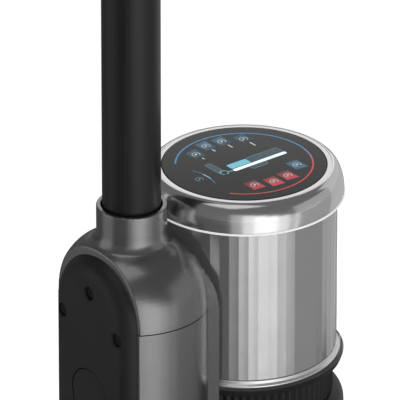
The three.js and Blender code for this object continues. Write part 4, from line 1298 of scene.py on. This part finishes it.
# %% Tabs and icons
def tab(name, u, v, side, material):
    """A leaning tab with an icon, on the left (side -1) or the right (side 1)."""
    inner = u - 5 * side
    outline = [(inner, v - 4), (u + 4.6 * side, v - 4), (u + 5.4 * side, v + 3.6), (inner, v + 3.6)]
    film(f"{name}_tab", outline, material)
    film(f"{name}_ring", band_of(arc(u, v, 2.2, 30, 330, 18), 0.45), icon_glow, 1)
    film(f"{name}_dot", arc(u, v, 0.8, 0, 324, 9), icon_glow, 1)


left_tabs = [(-24, 18.7), (-29, 7.4), (-30, -2.9), (-25, -13.7)]
right_tabs = [(19, 21.5), (26, 9.5), (27, -1), (24, -12)]
for i, (u, v) in enumerate(left_tabs):
    tab(f"left_{i + 1}", u, v, -1, blue_tab)
    film(f"left_{i + 1}_bar", band_of([(u + 5.5, v), (u + 10.5 - i, v)], 0.9), icon_glow, 1)
for i, (u, v) in enumerate(right_tabs):
    tab(f"right_{i + 1}", u, v, 1, red_tab if i else teal_tab)

# %% The drawing of the machine
film("drawn_strip", rounded_rectangle(1.9, 4.6, -10, 26.5, 1.3), strip_glow, 2)
film("drawn_body", rounded_rectangle(-4.6, 1.2, 4.5, 26, 1.2), shade_glow, 0)
film("drawn_body_edge", band_of([(-4.6, 4.5), (-4.6, 26), (1.0, 26)], 0.4), line_glow, 1)
film("drawn_tank", rounded_rectangle(-4.2, 1.2, -9.5, 4, 1.2), cyan_glow, 0)
film("drawn_back", rounded_rectangle(5.2, 8.2, -0.5, 11, 1.2), shade_glow, 0)
film("drawn_back_edge", band_of([(5.2, 11), (8.2, 10), (8.2, 0), (5.4, -0.6)], 0.35), line_glow, 1)
film("drawn_head", rounded_rectangle(-12, 1.5, -18.6, -14.6, 1.6), shade_glow, 0)
head_edge = [(1, -14.6), (-11, -14.6), (-12, -16.6), (-11, -18.6), (1, -18.6)]
film("drawn_head_edge", band_of(head_edge, 0.35), line_glow, 1)
film("drawn_pivot", band_of(arc(2, -15.6, 2.3, 0, 330, 20), 0.45), cyan_glow, 1)
film("drawn_neck", band_of([(2.6, -13), (3.2, -9.8)], 1.4), line_glow, 1)
film("low_icon", band_of(arc(0, -31.2, 2.1, 30, 330, 18), 0.45), line_glow, 1)
film("low_icon_dot", arc(0, -31.2, 0.8, 0, 324, 9), line_glow, 1)

# %% [markdown]
# ## Studio
# The machine stands on a white floor. Upright panels of light stand around it, and each shows as
# one vertical band in the bright parts. The key light is a row of six, dimmer at its ends, so that
# its band ends softly. A dark card lies on the floor for reflections only, so that the bands keep
# dark gaps between them.

# %% Floor and card
bpy.ops.mesh.primitive_plane_add(size=40, location=(0, 0, 0))
floor = bpy.context.object
floor.name = "floor"
floor_white = finish("white floor", (0.8, 0.8, 0.8), 0.9, Emission_Color=(1, 1, 1, 1), Emission_Strength=0.9)
roughen(floor_white, noise(floor_white, 5, 2), 0.86, 0.94)
floor.data.materials.append(floor_white)

bpy.ops.mesh.primitive_circle_add(vertices=64, radius=19, fill_type="NGON", location=(0, 0, 0.002))
card = bpy.context.object
card.name = "dark_card"
card_grey = finish("card grey", (0.04, 0.04, 0.04), 0.9, Emission_Color=(1, 1, 1, 1), Emission_Strength=0.07)
card.data.materials.append(card_grey)
card.visible_camera = False
card.visible_shadow = False

# %% Light panels
def panel(name, compass, distance, low, high, width, radiance):
    """An upright panel of light that faces the machine's axis; compass runs from +X to +Y."""
    angle = math.radians(compass)
    place = Vector((math.cos(angle) * distance, math.sin(angle) * distance, (low + high) / 2))
    bpy.ops.object.light_add(type="AREA", location=place)
    lamp = bpy.context.object
    lamp.name = name
    lamp.data.shape = "RECTANGLE"
    lamp.data.size, lamp.data.size_y = width, high - low
    lamp.data.energy = radiance * math.pi * width * (high - low)
    lamp.rotation_euler = Vector((-place.x, -place.y, 0)).to_track_quat("-Z", "Y").to_euler()
    lamp.visible_camera = False
    return lamp


KEY_ROW = ((0.92, 0.3), (0.88, 0.8), (0.82, 1.2), (0.74, 1.2), (0.67, 0.85), (0.6, 0.45))
KEY_START, KEY_STEP = -46, 13
for i, (high, radiance) in enumerate(KEY_ROW):
    panel(f"key_{i}", KEY_START + KEY_STEP * i, 1.0, -0.12, high, 0.23, radiance)
panel("right", 46, 0.95, 0.02, 1.0, 0.92, 0.26)
panel("far_right", 99, 1.0, 0.02, 1.4, 0.98, 0.42)
panel("left", -120, 1.2, 0.02, 0.95, 0.9, 0.4)
panel("rim", 141.5, 1.7, 0.9, 2.2, 1.15, 0.74)
overhead = panel("overhead", -72, 0.8, 1.5, 2.9, 1.5, 0.55)
overhead.rotation_euler = (0, 0, 0)
world = bpy.data.worlds.new("studio")
bpy.context.scene.world = world
world.use_nodes = True
world.node_tree.nodes["Background"].inputs["Color"].default_value = (1, 1, 1, 1)
world.node_tree.nodes["Background"].inputs["Strength"].default_value = 0.15
bpy.context.scene.view_settings.view_transform = "Standard"
